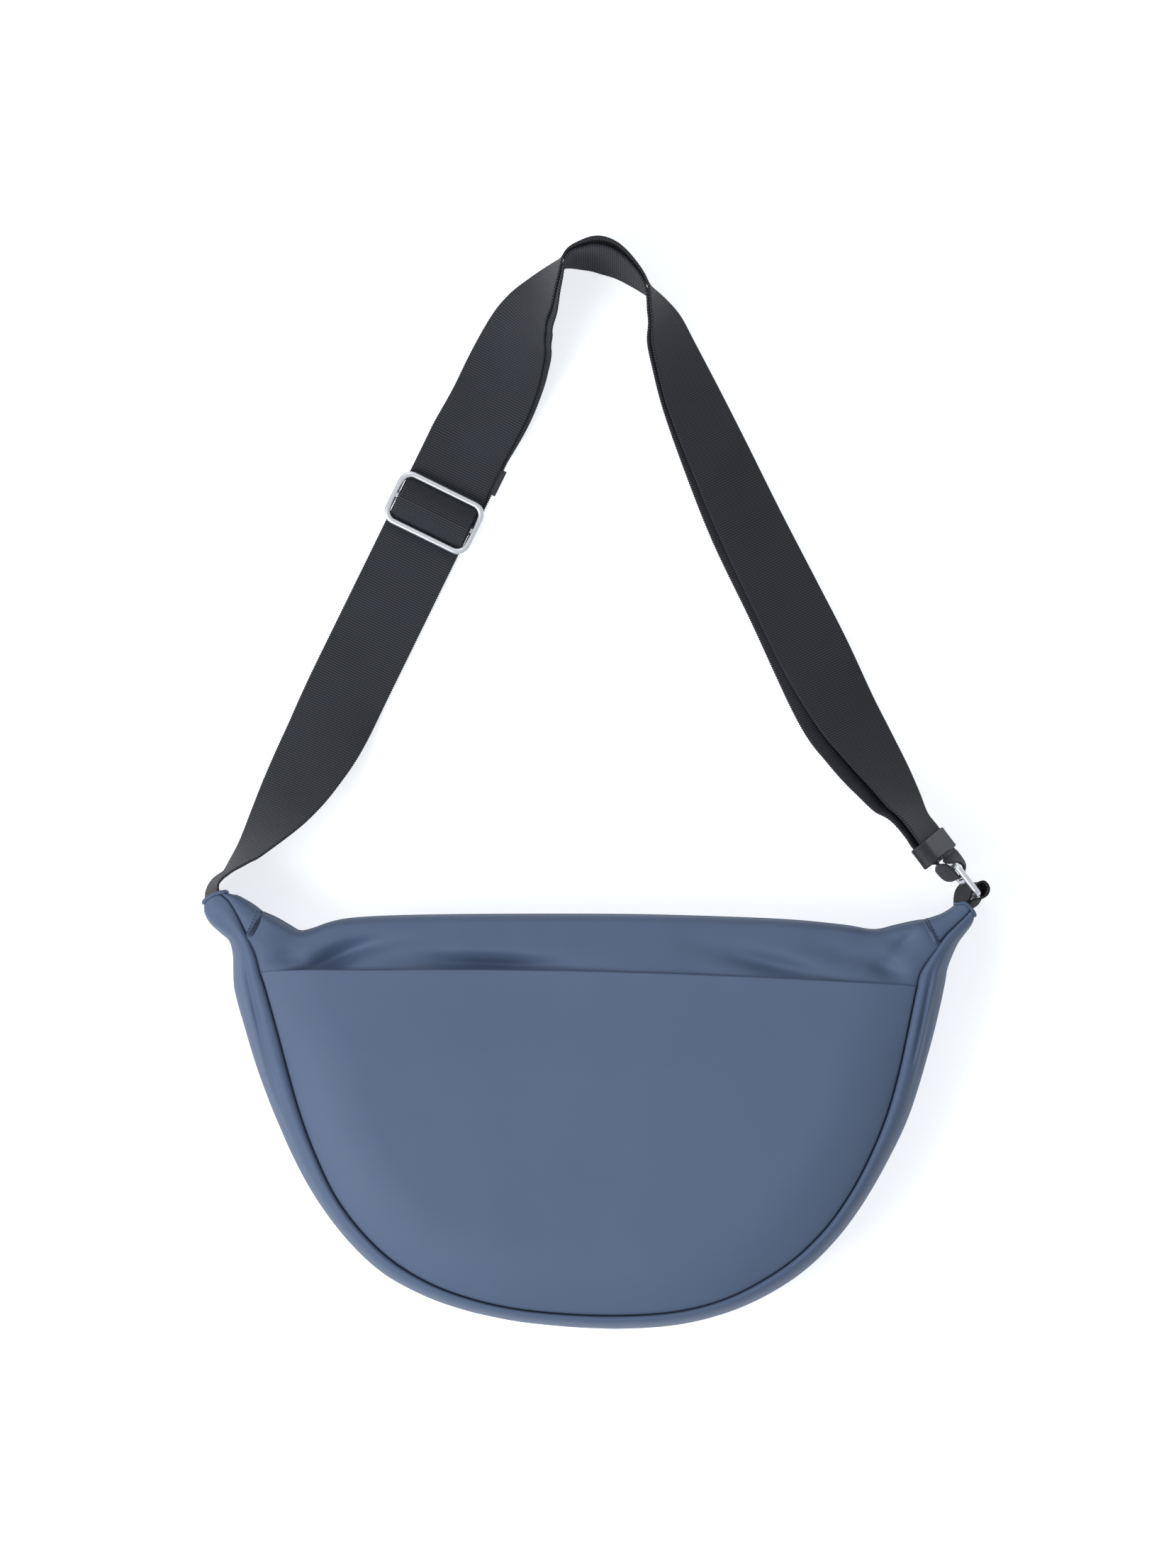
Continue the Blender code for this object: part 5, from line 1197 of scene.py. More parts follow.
def make_mouth(side, name, seam, edge, inner):
    """The mouth's edge, folded in round the webbing."""
    gusset_side = even(GUSSET_MOUTH_PROFILE, 34)
    patch_side = even(PATCH_MOUTH_PROFILE, 34)
    loop = [(*(seam + (edge - seam) * out), height) for out, height in gusset_side]
    loop += [(*(seam + (inner - seam) * out), height) for out, height in patch_side[::-1][1:-1]]
    loop = np.array(loop)
    high, low = seam_heights(1.0)
    loop[:, 2] = low + (high - low) * loop[:, 2]
    tip, out, over = mouth_axes(side)
    middle = tip + np.array((0, 0, LEVEL))
    half = LEFT_SLOT if side < 0 else RIGHT_SLOT
    along = np.clip((loop - middle) @ over, -half, half)
    height = np.clip(loop[:, 2] - LEVEL, -WEB / 2 - SLOT_SPARE, WEB / 2 + SLOT_SPARE)
    aim = middle + along[:, None] * over + height[:, None] * np.array(UP)
    rows = [loop + (aim - loop) * share + out * push for share, push in MOUTH_FOLD]
    grid = rounded_nose(np.array(rows), side)
    mesh = grid_mesh(name, grid, closed=True, flip=side > 0, marks={"seam": 0.0})
    piece = thicken(add_piece(name, mesh, "tip nylon"), 0.7)
    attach(piece, "bag")


# Stage, light and camera


def light_path(recipe, *kinds):
    """Whether the ray is of each of these kinds."""
    path = recipe.node("ShaderNodeLightPath")
    return [Number(recipe, path.outputs[f"Is {kind} Ray"]) for kind in kinds]


def make_stage():
    """A pale table that shows white to the camera and keeps the bag's soft shadow."""
    mesh = bpy.data.meshes.new("table")
    corners = [(x * TABLE_HALF, y * TABLE_HALF, TABLE_LEVEL) for x, y, _ in CORNERS]
    mesh.from_pydata(corners, [], [(0, 1, 2, 3)])
    table = bpy.data.objects.new("table", mesh)
    bpy.context.scene.collection.objects.link(table)
    material, recipe = finish_recipe("white table")
    camera, glossy, through = light_path(recipe, "Camera", "Glossy", "Transmission")
    seen = (camera + glossy + through).clipped()
    diffuse = recipe.node("ShaderNodeBsdfDiffuse", {"Color": (0.80, 0.80, 0.79, 1.0)})
    glow = recipe.node("ShaderNodeEmission", {"Color": (0.72, 0.745, 0.78, 1.0), "Strength": seen})
    both = recipe.node("ShaderNodeAddShader", {0: diffuse.outputs[0], 1: glow.outputs[0]})
    recipe.node("ShaderNodeOutputMaterial", {"Surface": both.outputs[0]})
    mesh.materials.append(material)


def make_light():
    """An even white surround, one soft lamp over the left of the table and a weak one behind."""
    world = bpy.data.worlds.new("studio")
    bpy.context.scene.world = world
    world.use_nodes = True
    recipe = Recipe(world.node_tree)
    camera, glossy = light_path(recipe, "Camera", "Glossy")
    feeds = {"Color": (1.0, 1.0, 1.0, 1.0), "Strength": camera * 0.70 + glossy * 0.45 + 0.30}
    ground = recipe.node("ShaderNodeBackground", feeds)
    recipe.node("ShaderNodeOutputWorld", {"Surface": ground.outputs[0]})
    for name, place, size, power in LAMPS:
        lamp = bpy.data.lights.new(name, "AREA")
        lamp.size = size
        lamp.energy = power
        holder = bpy.data.objects.new(name, lamp)
        holder.location = place
        aim = Vector(LAMP_AIM) - Vector(place)
        holder.rotation_euler = aim.to_track_quat("-Z", "Y").to_euler()
        bpy.context.scene.collection.objects.link(holder)


def make_camera():
    """Straight down, from far enough away that the bag is seen without perspective."""
    camera = bpy.data.cameras.new("camera")
    camera.sensor_width = SENSOR
    camera.lens = SENSOR * CAMERA_HEIGHT / VIEW_HEIGHT
    camera.clip_end = 50.0
    holder = bpy.data.objects.new("camera", camera)
    holder.location = (*VIEW_CENTRE, CAMERA_HEIGHT)
    bpy.context.scene.collection.objects.link(holder)
    bpy.context.scene.camera = holder
    bpy.context.scene.view_settings.view_transform = "Standard"


# Strap


def ring_bar(place):
    """A bar's centre on the ring: -1 holds the strap, 0 is the middle bar, 1 holds the tab."""
    direction = heading(RING_TURN)
    middle = Vector(RING_CORNER_PLACE) + direction * RING_WIDTH / 2
    return middle + direction * place * (RING_WIDTH - RING_WIRE) / 2


def tilted(direction, tilt):
    """The direction across webbing that runs this way, tilted up from the inner side."""
    return across(direction) * cos(radians(tilt)) + UP * sin(radians(tilt))


def end_width():
    """The direction across the webbing at the right end."""
    return tilted(heading(RING_TURN), END_TILT)


def strap_place(shares):
    return shares[0] * HALF_SPAN, STRAP_BASE + shares[1] * STRAP_RISE


def on_edge_lift(tilt):
    return LEVEL - WEB / 2 * sin(radians(tilt))


def left_root_rows():
    """Rows of x, y, tilt, lift, gap, peek and low reach, from inside the left tip to the table."""
    x, y = strap_place(LEFT_EDGE_SHARES[0])
    first = Vector((x, y, 0.0))
    rows = []
    for distance in ROOT_DISTANCES:
        place = first + heading(LEFT_ROOT_TURN) * distance
        rows.append((place.x, place.y, LEFT_EDGE_SHARES[0][2], on_edge_lift(90.0), 0.0, 0.0, 0.0))
    count = len(LEFT_EDGE_SHARES)
    for index, (x_share, y_share, tilt) in enumerate(LEFT_EDGE_SHARES):
        lift = ease(on_edge_lift(90.0), OUTER_Z, (index + 1) / (count - 2))
        rows.append((*strap_place((x_share, y_share)), tilt, lift, 0.0, 0.0, 0.0))
    return rows


def straight_place(share):
    return Vector(strap_place(STRAIGHT_START)).lerp(Vector(strap_place(STRAIGHT_END)), share)


def straight_rows():
    peek = PEEK * STRAIGHT_PEEK
    return [(*straight_place(share), 0.0, OUTER_Z, 0.0, peek, 0.0) for share in STRAIGHT_STOPS]


def arch_rows():
    return [
        (*strap_place((x, y)), tilt, OUTER_Z, ARCH_GAP * gap, PEEK * peek, LOW_REACH * reach)
        for (x, y, tilt), gap, peek, reach in zip(ARCH_SHARES, ARCH_GAPS, PEEKS, LOW_REACHES)
    ]


def keeper_rows():
    along = heading(KEEPER_TURN)
    edge = Vector(KEEPER_PLACE) - across(along) * WEB / 2 * cos(radians(KEEPER_TILT))
    rows = []
    lift = on_edge_lift(KEEPER_TILT)
    for distance in KEEPER_DISTANCES:
        place = edge + along * distance
        rows.append((place.x, place.y, KEEPER_TILT, lift, KEEPER_SLACK, 0.0, 0.0))
    return rows


def layer_stations(rows, layer):
    """Centres and width directions of the outer layer, 0, or the inner one, 1."""
    line = spline(rows, STRAP_STEPS)
    found = []
    for index, (x, y, tilt, lift, gap, peek, reach) in enumerate(line):
        before, after = line[max(index - 1, 0)], line[min(index + 1, len(line) - 1)]
        direction = Vector((after[0] - before[0], after[1] - before[1], 0.0)).normalized()
        width, face = tilted(direction, tilt), tilted(direction, tilt + 90)
        centre = Vector((x, y, lift)) + width * WEB / 2
        if layer:
            centre = centre - face * (LAYER_STEP + gap) + width * peek
        found.append(leant(centre, width, reach if layer else reach * OUTER_REACH))
    return np.array(found)


def leant(centre, width, reach):
    """The same station with its low edge this far in and its top edge over the same place."""
    if reach <= 0:
        return (*centre, *width)
    flat = Vector((width.x * WEB, width.y * WEB + reach, 0.0))
    leaning = (flat + UP * sqrt(WEB**2 - flat.length_squared)) / WEB
    low = centre - width * WEB / 2 - Vector((0.0, reach, 0.0))
    return (*(low + leaning * WEB / 2), *leaning)


def webbing_section(breadth, thickness):
    """Places across the webbing and through it, round its section, with soft edges."""
    half, deep = breadth / 2, thickness / 2
    near = [half - inset for inset in (0.35, 1.1, 2.4)] + [half * 0.5]
    tops = [-place for place in near] + [0.0] + near[::-1]
    edge = [(half - 0.06, deep * 0.62), (half, 0.0), (half - 0.06, -deep * 0.62)]
    section = [(place, deep) for place in tops] + edge
    section += [(-place, -deep) for place in tops] + [(-place, -height) for place, height in edge]
    return np.array(section)


def make_webbing(name, stations, breadth=WEB, finish="black webbing"):
    """Ribbed webbing swept through stations of a centre and a width direction."""
    along = travel(stations[:, :3])
    count = max(int(along[-1] / (RIB_PITCH / 2)), 4)
    dense = resample(stations, np.linspace(0.0, along[-1], count + 1), along)
    centre, width = dense[:, :3], dense[:, 3:]
    width = width / np.linalg.norm(width, axis=1)[:, None]
    face = np.cross(width, np.gradient(centre, axis=0))
    face = face / np.linalg.norm(face, axis=1)[:, None]
    section = webbing_section(breadth, WEB_THICK)
    grid = centre[:, None] + width[:, None] * section[:, :1] + face[:, None] * section[:, 1:]
    length = np.linspace(0.0, along[-1], count + 1)
    marks = {"along": length[:, None], "aside": section[:, 0] / (breadth / 2)}
    for axis, letter in enumerate("xyz"):
        marks["width_" + letter] = width[:, axis][:, None]
    mesh = grid_mesh(name, grid, closed=True, marks=marks)
    set_webbing_lengths(mesh, length, section[:, 0])
    close_ends(mesh, grid.shape[1])
    piece = add_piece(name, mesh, finish)
    return trim_with(piece, RIB_TREE, finish, RIB_SIZES)


def set_webbing_lengths(mesh, length, aside):
    """UV from the length along and the place across, the same on both faces."""
    columns = len(aside)
    vertex = np.zeros(len(mesh.loops), dtype=np.int32)
    mesh.loops.foreach_get("vertex_index", vertex)
    uv = np.stack([aside[vertex % columns], length[vertex // columns]], axis=1)
    mesh.uv_layers["Cloth"].data.foreach_set("uv", uv.astype(np.float32).ravel())


def close_ends(mesh, columns):
    """Closes the first and the last row of a tube."""
    with edited(mesh) as shape:
        shape.faces.new(list(reversed(shape.verts[:columns])))
        shape.faces.new(shape.verts[-columns:])
        bmesh.ops.recalc_face_normals(shape, faces=shape.faces)
    mesh.shade_smooth()


# Trims that repeat, as node trees


def new_trim(name, sizes):
    """A tree of geometry nodes with its named sizes and its finish."""
    tree = bpy.data.node_groups.new(name, "GeometryNodeTree")
    recipe = Recipe(tree)
    inputs = [("Geometry", "NodeSocketGeometry")]
    inputs += [(label, "NodeSocketFloat") for label in sizes] + [("Finish", "NodeSocketMaterial")]
    tree.interface.new_socket("Geometry", in_out="OUTPUT", socket_type="NodeSocketGeometry")
    for label, kind in inputs:
        tree.interface.new_socket(label, in_out="INPUT", socket_type=kind)
    return tree, recipe, recipe.node("NodeGroupInput")


def close_trim(recipe, entry, geometry):
    """Ends a tree: real geometry in its finish."""
    real = recipe.node("GeometryNodeRealizeInstances", {0: geometry})
    feeds = {"Geometry": real.outputs[0], "Material": entry.outputs["Finish"]}
    done = recipe.node("GeometryNodeSetMaterial", feeds)
    recipe.node("NodeGroupOutput", {0: done.outputs[0]})


def rib_tree():
    """Ribs across webbing, and the small scallops that they leave along its edges."""
    tree, recipe, entry = new_trim("webbing ribs", RIB_SIZES)
    pitch, depth, scallop = (Number(recipe, entry.outputs[name]) for name in RIB_SIZES)

    def mark(name):
        return recipe.number("GeometryNodeInputNamedAttribute", {"Name": name}, data_type="FLOAT")

    def scaled(direction, scale):
        feeds = {0: direction.outputs[0], "Scale": scale}
        return recipe.node("ShaderNodeVectorMath", feeds, operation="SCALE").outputs[0]

    wave = (mark("along") * MM / pitch * TURN + pi / 2).sine()
    lift = scaled(recipe.node("GeometryNodeInputNormal"), wave * depth)
    feeds = {axis: mark("width_" + letter) for axis, letter in enumerate("xyz")}
    width = recipe.node("ShaderNodeCombineXYZ", feeds)
    edge = mark("aside") ** 7.0
    push = scaled(width, edge * wave * scallop)
    both = recipe.node("ShaderNodeVectorMath", {0: lift, 1: push}, operation="ADD")
    feeds = {"Geometry": entry.outputs["Geometry"], "Offset": both.outputs[0]}
    moved = recipe.node("GeometryNodeSetPosition", feeds)
    close_trim(recipe, entry, moved.outputs[0])
    return tree


def bead_tree(name, turned):
    """Rounded beads laid along a line at a pitch: stitches turned along it, or zip teeth."""
    tree, recipe, entry = new_trim(name, ("Pitch", "X", "Y", "Z"))
    line = recipe.node("GeometryNodeMeshToCurve", {0: entry.outputs["Geometry"]})
    feeds = {0: line.outputs[0], "Length": entry.outputs["Pitch"]}
    points = recipe.node("GeometryNodeCurveToPoints", feeds, mode="LENGTH")
    ball = recipe.node("GeometryNodeMeshUVSphere", {"Segments": 8, "Rings": 6, "Radius": 0.5})
    feeds = {axis: entry.outputs[letter] for axis, letter in enumerate("XYZ")}
    size = recipe.node("ShaderNodeCombineXYZ", feeds)
    feeds = {"Points": points.outputs[0], "Instance": ball.outputs[0], "Scale": size.outputs[0]}
    if turned:
        feeds["Rotation"] = points.outputs["Rotation"]
    laid = recipe.node("GeometryNodeInstanceOnPoints", feeds)
    close_trim(recipe, entry, laid.outputs[0])
    return tree


def trim_with(piece, tree, finish, sizes):
    """Runs a tree on a piece and keeps the result as a plain mesh in its finish."""
    modifier = piece.modifiers.new("Trim", "NODES")
    modifier.node_group = tree
    values = {**sizes, "Finish": FINISHES[finish]}
    for item in tree.interface.items_tree:
        if item.item_type == "SOCKET" and item.in_out == "INPUT" and item.name in values:
            modifier[item.identifier] = values[item.name]
    settle(piece)
    piece.data.shade_smooth()
    piece.data.materials.clear()
    piece.data.materials.append(FINISHES[finish])
    return piece


def line_mesh(name, points):
    """A mesh of edges through places in millimetres."""
    mesh = bpy.data.meshes.new(name)
    edges = [(index, index + 1) for index in range(len(points) - 1)]
    mesh.from_pydata((np.array(points) * MM).tolist(), edges, [])
    return mesh


RIB_TREE = rib_tree()
STITCH_TREE = bead_tree("stitches", True)
TEETH_TREE = bead_tree("zip teeth", False)


def smoothed(stations, first, last):
    """Stations with the bends between two of them made softer."""
    for _ in range(3):
        before, after = stations[first - 1 : last - 1], stations[first + 1 : last + 1]
        stations[first:last] = (before + stations[first:last] * 2 + after) / 4
    return stations


def make_strap():
    """The webbing's two layers and its turn round the ring, in five lengths."""
    root = len(left_root_rows())
    rows = left_root_rows() + straight_rows() + arch_rows() + keeper_rows()
    outer, inner = layer_stations(rows, 0), layer_stations(rows, 1)
    beyond_arch = (root + len(STRAIGHT_STOPS) + LOOP_ROW) * STRAP_STEPS
    at_keeper = len(outer) - STRAP_STEPS - 4

    along = heading(RING_TURN)
    turn = []
    for ahead, aside, tilt in spline(RING_LOOP_ROWS, 3):
        place = ring_bar(-1) + along * ahead - across(along) * aside + UP * LEVEL
        turn.append((*place, *tilted(along, tilt)))
    loop = np.vstack([outer[at_keeper:], turn, inner[at_keeper:-STRAP_STEPS][::-1]])
    loop = smoothed(loop, STRAP_STEPS, len(loop) - 2)
    piece = make_webbing("strap_webbing_loop", loop)
    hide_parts("strap_ring_loop")
    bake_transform(piece)

    piece = make_webbing("strap_webbing_outer", outer[: at_keeper + 1])
    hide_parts("strap_root_left", "strap_outer_run")
    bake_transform(piece)
    piece = make_webbing("strap_webbing_inner_end", inner[beyond_arch : at_keeper + 1][::-1])
    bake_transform(piece)

    upward = (straight_place(1.0) - straight_place(0.0)).normalized()
    patch_end = straight_place(SLIDER_SHARE) + upward * (PATCH_START + PATCH_LENGTH)
    back = inner[(root + len(STRAIGHT_STOPS) - 1) * STRAP_STEPS : beyond_arch + 1]
    setback = (patch_end - straight_place(1.0)).length - 1.0
    lengths = travel(back[:, :3])
    back = resample(back, [setback, *lengths[lengths > setback + 0.5]], lengths)
    ahead = (back[:, :2] - np.array(patch_end)) @ np.array(upward)
    split = int(np.argmax(ahead > INNER_GIVE + 1.0))
    piece = make_webbing("strap_webbing_inner", back[split:][::-1])
    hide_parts("strap_return_run")
    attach(piece, "strap")
    piece = make_webbing("strap_webbing_inner_start", back[: split + 1][::-1])
    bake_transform(piece)


# Hardware


def wire_grid(loop, wire, section=12, flat=0.92, closed=True):
    """A wire swept along a loop of places in the plane of the loop's own x and y."""
    loop = np.array(loop)
    count = len(loop)
    before = loop[np.arange(count) - 1]
    after = loop[(np.arange(count) + 1) % count]
    if not closed:
        before[0], after[-1] = loop[0], loop[-1]
    along = after - before
    along = along / np.linalg.norm(along, axis=1)[:, None]
    aside = np.stack([along[:, 1], -along[:, 0], 0 * along[:, 0]], axis=1)
    turns = np.linspace(0.0, TURN, section, endpoint=False)
    power = 2 / 2.7
    a = np.sign(np.cos(turns)) * np.abs(np.cos(turns)) ** power * wire / 2
    b = np.sign(np.sin(turns)) * np.abs(np.sin(turns)) ** power * wire / 2 * flat
    return loop[:, None] + aside[:, None] * a[:, None] + np.array(UP) * b[:, None]


def rounded_loop(length, width, corner, wire, steps):
    """A frame's centre line, with round corners."""
    places = rounded_corners((length - wire) / 2, (width - wire) / 2, corner - wire / 2, steps)
    return [(x, y, 0.0) for x, y in places]


def place_grid(grid, centre, axes):
    """Turns a grid made in its own axes into the bag's."""
    axes = np.array([tuple(axis) for axis in axes])
    return grid @ axes + np.array(centre)


def join_grids(name, parts, finish):
    """One piece out of several closed wires and bars."""
    mesh = bpy.data.meshes.new(name)
    whole = bmesh.new()
    for grid, cyclic in parts:
        if cyclic:
            grid = np.concatenate([grid, grid[:1]], axis=0)
        part = grid_mesh(name + "_part", grid, closed=True)
        with edited(part) as shape:
            if cyclic:
                bmesh.ops.remove_doubles(shape, verts=shape.verts, dist=1e-7)
            else:
                columns = grid.shape[1]
                shape.faces.new(shape.verts[:columns])
                shape.faces.new(shape.verts[-columns:])
            bmesh.ops.recalc_face_normals(shape, faces=shape.faces)
        whole.from_mesh(part)
        bpy.data.meshes.remove(part)
    whole.to_mesh(mesh)
    whole.free()
    mesh.shade_smooth()
    return add_piece(name, mesh, finish)


def add_frame(name, centre, axes, length, width, corner, wire, steps, flat):
    """A ring of wire with a bar along its middle."""
    loop = wire_grid(rounded_loop(length, width, corner, wire, steps), wire, 14, flat)
    half = (length - wire) / 2
    line = np.stack([np.linspace(-half, half, 12), np.zeros(12), np.zeros(12)], axis=1)
    bar = wire_grid(line, wire, closed=False)
    parts = [(place_grid(loop, centre, axes), True), (place_grid(bar, centre, axes), False)]
    return join_grids(name, parts, "satin nickel")


def slider_axes():
    """The slider's middle, the directions across and along it, and its bar's turn and height."""
    along = (straight_place(1.0) - straight_place(0.0)).normalized().to_3d()
    inward = across(along)
    turn_radius = SLIDER_WIRE / 2 + SLIDER_ROOM + WEB_THICK / 2
    bar_z = OUTER_Z + WEB_THICK + SLIDER_ROOM + turn_radius
    centre = straight_place(SLIDER_SHARE).to_3d() + inward * WEB / 2 + UP * bar_z
    return centre, inward, along, turn_radius, bar_z


def make_slider():
    centre, inward, along, turn_radius, bar_z = slider_axes()
    sizes = (SLIDER_LENGTH, SLIDER_WIDTH, SLIDER_CORNER, SLIDER_WIRE, 10, 0.92)
    piece = add_frame("slider_ring_frame", centre, (inward, along, UP), *sizes)
    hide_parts("slider_frame")
    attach(piece, "strap_slider")

    def stations(places):
        """Webbing through places along the slider and above its bar."""
        return np.array([(*(centre + along * a + UP * up), *inward) for a, up in places])

    turns = np.radians(np.linspace(WRAP_OPENING, 360.0 - WRAP_OPENING, 40))
    wrap = [(turn_radius * cos(turn), turn_radius * sin(turn)) for turn in turns]
    piece = make_webbing("strap_end_wrap_webbing", stations(wrap))
    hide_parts("strap_end_wrap")
    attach(piece, "strap_slider")

    reach = SLIDER_WIDTH / 2 - BAR_RISE_SPARE
    crest = turn_radius + WEB_THICK + SLIDER_ROOM
    half = spline(BAR_RISE, 6)
    rise = np.vstack([half, half[:-1][::-1] * np.array((-1.0, 1.0))])
    rise = [(reach * a, (crest + turn_radius) * up - turn_radius) for a, up in rise]
    piece = make_webbing("strap_over_bar_webbing", stations(rise), WEB - BAR_RISE_NARROWER)
    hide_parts("strap_over_bar")
    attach(piece, "strap_slider")

    tail_z = WEB_THICK / 2 - bar_z
    peek = inward * (PEEK * STRAIGHT_PEEK)
    tail = stations([(place, tail_z) for place in np.linspace(TAIL_START, TAIL_END, 20)])
    tail[:, :3] += np.array(peek)
    piece = make_webbing("strap_tail_webbing", tail)
    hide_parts("strap_tail")
    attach(piece, "strap_slider")
    make_patch(centre + peek + UP * tail_z, inward, along)


def slab_grid(breadth, length, thick, rows, columns):
    """A thin slab with rounded edges, as a closed section swept along its length."""
    deep = thick / 2
    round_edge = deep * 0.8
    flat = breadth / 2 - round_edge
    section = [(place * flat, deep) for place in np.linspace(-1.0, 1.0, columns)]
    for turn in np.radians(np.linspace(60.0, -60.0, 5)):
        section.append((flat + round_edge * cos(turn), deep * sin(turn)))
    section += [(place * flat, -deep) for place in np.linspace(1.0, -1.0, columns)]
    for turn in np.radians(np.linspace(240.0, 120.0, 5)):
        section.append((-flat + round_edge * cos(turn), deep * sin(turn)))
    section = np.array(section)
    places = np.linspace(0.0, length, rows)
    grid = np.zeros((rows, len(section), 3))
    grid[..., 0] = section[None, :, 0]
    grid[..., 1] = places[:, None]
    grid[..., 2] = section[None, :, 1]
    end = np.minimum(places, length - places)[:, None]
    grid[..., 2] *= np.clip(0.35 + end, 0.35, 1.0) ** 0.5
    return grid


def make_patch(base, inward, along):
    """The leather patch over the webbing's end."""
    grid = slab_grid(WEB + 2 * PATCH_PROUD, PATCH_LENGTH, WEB_THICK, 28, 40)
    edge = np.minimum(grid[..., 1], PATCH_LENGTH - grid[..., 1])
    edge = np.minimum(edge, WEB / 2 + PATCH_PROUD - np.abs(grid[..., 0]))
    placed = place_grid(grid + np.array((0.0, PATCH_START, 0.0)), base, (inward, along, UP))
    mesh = grid_mesh("strap_end_patch", placed, closed=True, marks={"wear": np.exp(-edge / 0.5)})
    close_ends(mesh, grid.shape[1])
    piece = add_piece("strap_end_patch", mesh, "dark leather")
    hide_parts("strap_tip_patch")
    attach(piece, "strap_slider")


def make_ring():
    along, width = heading(RING_TURN), end_width()
    axes = (width, along, width.cross(along))
    sizes = (RING_LENGTH, RING_WIDTH, RING_CORNER, RING_WIRE, 7, 1.0)
    piece = add_frame("end_ring_frame", ring_bar(0) + UP * LEVEL, axes, *sizes)
    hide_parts("end_ring")
    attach(piece, "ring")


def make_tab():
    """The webbing loop that holds the ring in the right tip."""
    out = heading(RIGHT_TIP_TURN)
    left = -across(out)
    stations = []
    for ahead, aside, top_aside, top_ahead in spline(TAB_ROWS, 5):
        width = (UP * WEB + left * top_aside + out * top_ahead).normalized()
        stations.append((*(ring_bar(1) + out * ahead + left * aside + UP * LEVEL), *width))
    # Painted shade: the tab's webbing is painted darker than the strap's.
    piece = make_webbing("ring_tab_webbing", np.array(stations), finish="tab webbing")
    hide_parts("ring_tab")
    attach(piece, "bag")


def make_keeper():
    """A leather sleeve round both layers, with turned edges."""
    along = heading(KEEPER_TURN)
    width, face = tilted(along, KEEPER_TILT), tilted(along, KEEPER_TILT + 90)
    middle = Vector(KEEPER_PLACE) + UP * LEVEL - face * (LAYER_STEP + KEEPER_SLACK) / 2
    half_width = WEB / 2 + KEEPER_ROOM
    half_depth = (WEB_THICK + LAYER_STEP + KEEPER_SLACK) / 2 + KEEPER_ROOM
    lengths = np.linspace(-KEEPER_LENGTH / 2, KEEPER_LENGTH / 2, 25)
    ends = KEEPER_LENGTH / 2 - np.abs(lengths)
    rims = 0.16 * np.exp(-((ends - 0.9) / 0.35) ** 2) - 0.35 * np.exp(-ends / 0.25)
    outside = list(zip(lengths, KEEPER_WALL + rims))
    inside = [(place, 0.02) for place in lengths[::-1]]
    grid = []
    for place, proud in outside + inside + outside[:1]:
        loop = rounded_corners(half_width + proud, half_depth + proud, KEEPER_ROUND + proud, 5)
        dense = []
        for start, end in zip(loop, loop[1:] + loop[:1]):
            gap = np.hypot(end[0] - start[0], end[1] - start[1])
            pieces = 14 if gap > 10 else 1
            for share in np.arange(pieces) / pieces:
                x, z = (a + (b - a) * share for a, b in zip(start, end))
                dense.append((x, place, z))
        grid.append(dense)
    grid = np.array(grid)
    wear = 0.7 * np.exp(-(KEEPER_LENGTH / 2 - np.abs(grid[..., 1])) / 0.7)
    placed = place_grid(grid, middle, (width, along, -face))
    mesh = grid_mesh("strap_keeper_sleeve", placed, closed=True, marks={"wear": wear})
    with edited(merge_doubles(mesh, 1e-7)) as shape:
        bmesh.ops.recalc_face_normals(shape, faces=shape.faces)
    mesh.shade_smooth()
    piece = add_piece("strap_keeper_sleeve", mesh, "dark leather")
    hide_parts("strap_keeper")
    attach(piece, "keeper")


# Zip and lining


def make_zip():
    """Tapes and teeth on both sides of the zip's middle, and the CAD's own stops and slider."""
    for name, node, side in (
        ("zip_tape_front_cloth", "zip_tape_front", 1),
        ("zip_tape_back_cloth", "zip_tape_back", -1),
    ):
        x = np.linspace(-TAPE_END, TAPE_END, 160)
        rows = []
        for share in np.linspace(0.0, 1.0, 8):
            z = ZIP_MIDDLE + side * (TAPE_NEAR + (TAPE_FAR - TAPE_NEAR) * share)
            bead = TAPE_BEAD * np.exp(-((share * 8.5 - 0.5) / 0.5) ** 2)
            rows.append(np.stack([x, 0 * x + ZIP_LINE + TAPE_BEAD + bead, 0 * x + z], axis=1))
        mesh = grid_mesh(name, np.array(rows), flip=side > 0, marks={"seam": 0.0})
        piece = thicken(add_piece(name, mesh, "zip tape"), THIN_CLOTH)
        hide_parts(node)
        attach(piece, "bag")
    for name, node, side in (
        ("zip_teeth_front", "zip_coil_front", 1),
        ("zip_teeth_back", "zip_coil_back", -1),
    ):
        reach, shift = TEETH_END - TEETH_SPARE, side * TEETH_SHIFT
        z = ZIP_MIDDLE + side * TEETH_APART
        mesh = line_mesh(name, [(shift - reach, ZIP_LINE, z), (shift + reach, ZIP_LINE, z)])
        piece = trim_with(add_piece(name, mesh, "zip teeth"), TEETH_TREE, "zip teeth", TEETH_SIZES)
        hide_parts(node)
        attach(piece, "bag")
    for node in ("zip_stop_left", "zip_stop_right", "zip_slider", "zip_pull"):
        wear_finish(node, "gunmetal")
    make_zip_ends()


def make_zip_ends():
    """A folded piece of cloth over each end of the zip."""
    for name, side, start, end in END_COVERS:
        x = side * np.linspace(start, end, 16)
        rows = []
        for share in np.linspace(0.0, 1.0, 12):
            fold = 0.5 * sin(share * pi) - 0.8 * (abs(share - 0.5) * 2) ** 4
            z = COVER_LOW + COVER_HEIGHT * share
            rows.append(np.stack([x, recess(x) + 2.1 + fold, 0 * x + z], axis=1))
        mesh = grid_mesh(name, np.array(rows), flip=side > 0, marks={"seam": 0.0})
        piece = thicken(add_piece(name, mesh, "panel nylon"), POCKET_CLOTH)
        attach(piece, "bag")


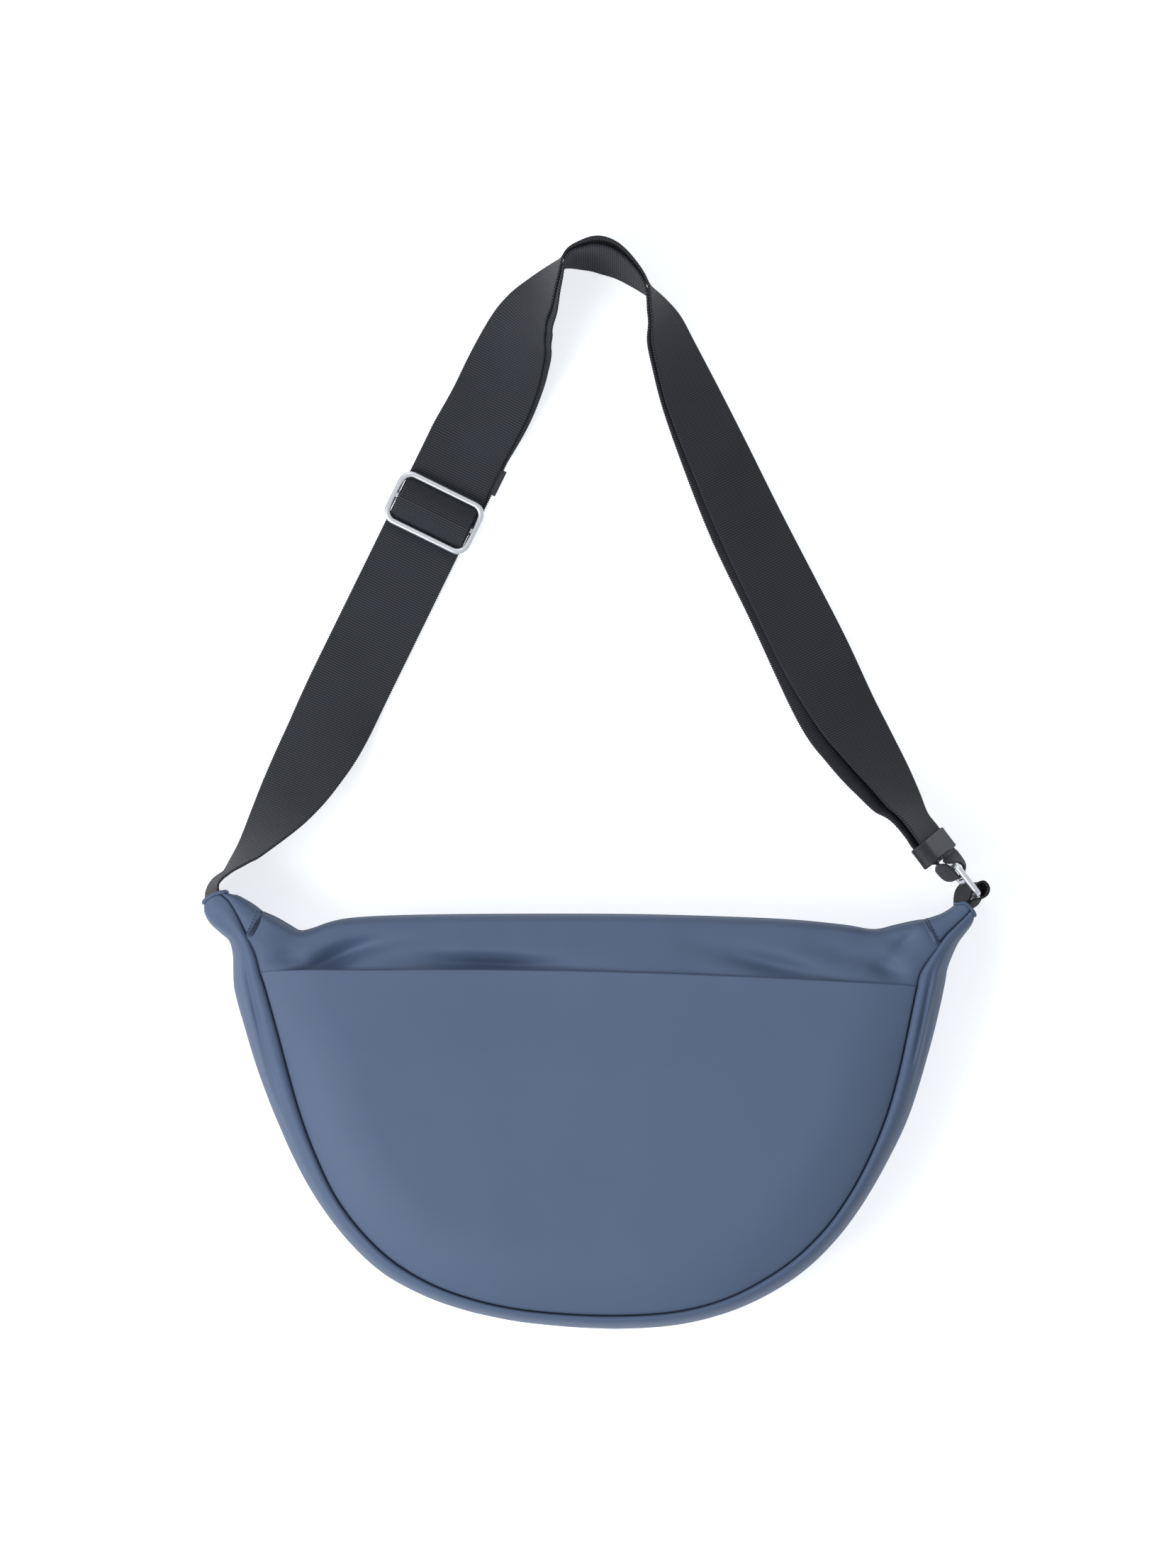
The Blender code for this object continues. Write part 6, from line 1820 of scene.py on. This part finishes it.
def wear_finish(node, finish):
    """Gives a CAD node that stays its finish."""
    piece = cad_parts[node]
    piece.data.materials.clear()
    piece.data.materials.append(FINISHES[finish])


def lining_loop(y, half_width, low, high):
    """A rounded loop of cloth in the plane of one y."""
    corner = min(half_width, (high - low) / 2) * 0.45
    middle = (low + high) / 2
    places = rounded_corners(half_width, (high - low) / 2, corner, 4)
    loop = np.array([(x, y, middle + z) for x, z in places + places[:1]])
    return resample(loop, np.linspace(0.0, travel(loop)[-1], 64, endpoint=False))


def make_lining():
    """A soft twill pouch inside the body, open at the zip, and its slip pocket."""
    dense = spline(LINING_LEVELS, 5)
    rows = []
    for index, (y, half, squeeze) in enumerate(dense):
        low, high = LINING_LOW + squeeze * LINING_PRESS, LINING_HIGH - squeeze
        loop = lining_loop(y, half, low, high)
        fade = min(index / 5, 1.0) * min((len(dense) - 1 - index) / 8, 1.0)
        wave = 0.8 * fade * ripple(loop[:, 0], loop[:, 2] + y, 22.0, 6.6)
        pull = np.array((0.0, y, (LINING_LOW + LINING_HIGH) / 2)) - loop
        pull = pull / np.linalg.norm(pull, axis=1)[:, None]
        rows.append(loop + pull * np.abs(wave)[:, None])
    grid = np.array(rows)
    mesh = grid_mesh("lining_cloth", grid, closed=True)
    with edited(mesh) as shape:
        shape.faces.new(shape.verts[: grid.shape[1]])
        bmesh.ops.recalc_face_normals(shape, faces=shape.faces)
    mesh.shade_smooth()
    piece = thicken(add_piece("lining_cloth", mesh, "lining twill"), THIN_CLOTH)
    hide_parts("lining")
    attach(piece, "bag")
    grid = slab_grid(*SLIP_SIZE, 40, 60)
    grid[..., 2] += 0.5 * np.abs(ripple(grid[..., 0], grid[..., 1], 25.0, 2.8))
    mesh = grid_mesh("inner_slip_pocket", grid + np.array(SLIP_PLACE), closed=True)
    close_ends(mesh, grid.shape[1])
    piece = add_piece("inner_slip_pocket", mesh, "lining twill")
    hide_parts("inner_pocket")
    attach(piece, "bag")


def make_topstitching():
    """A row of stitches on each tip, beside its patch's seam."""
    for name, side in (("tip_stitches_left", -1), ("tip_stitches_right", 1)):
        seam, _, inner = tip_stations(side)
        index = int(STITCH_SHARE * (len(seam) - 1))
        top = np.array(PATCH_PROFILE[:5])
        rise = LAP_RISE * np.exp(-STITCH_SHARE * TIP_RUN / LAP_REACH) + STITCH_RISE
        line = []
        for out in np.linspace(0.10, 0.90, 14):
            height = np.interp(out, top[:, 0], top[:, 1])
            place = seam[index] + (inner[index] - seam[index]) * out
            line.append((*place, BACK_SEAM + (FRONT_SEAM - BACK_SEAM) * height + rise))
        piece = add_piece(name, line_mesh(name, line), "navy thread")
        trim_with(piece, STITCH_TREE, "navy thread", STITCH_SIZES)
        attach(piece, "bag")


make_stage()
make_light()
make_camera()
make_gusset()
make_tip(-1, "tip_patch_left", "end_cap_left")
make_tip(1, "tip_patch_right", "end_cap_right")
make_front_panel()
make_pocket()
make_back_strip()
make_back_panel()
make_zip()
make_lining()
make_topstitching()
make_strap()
make_slider()
make_ring()
make_tab()
make_keeper()
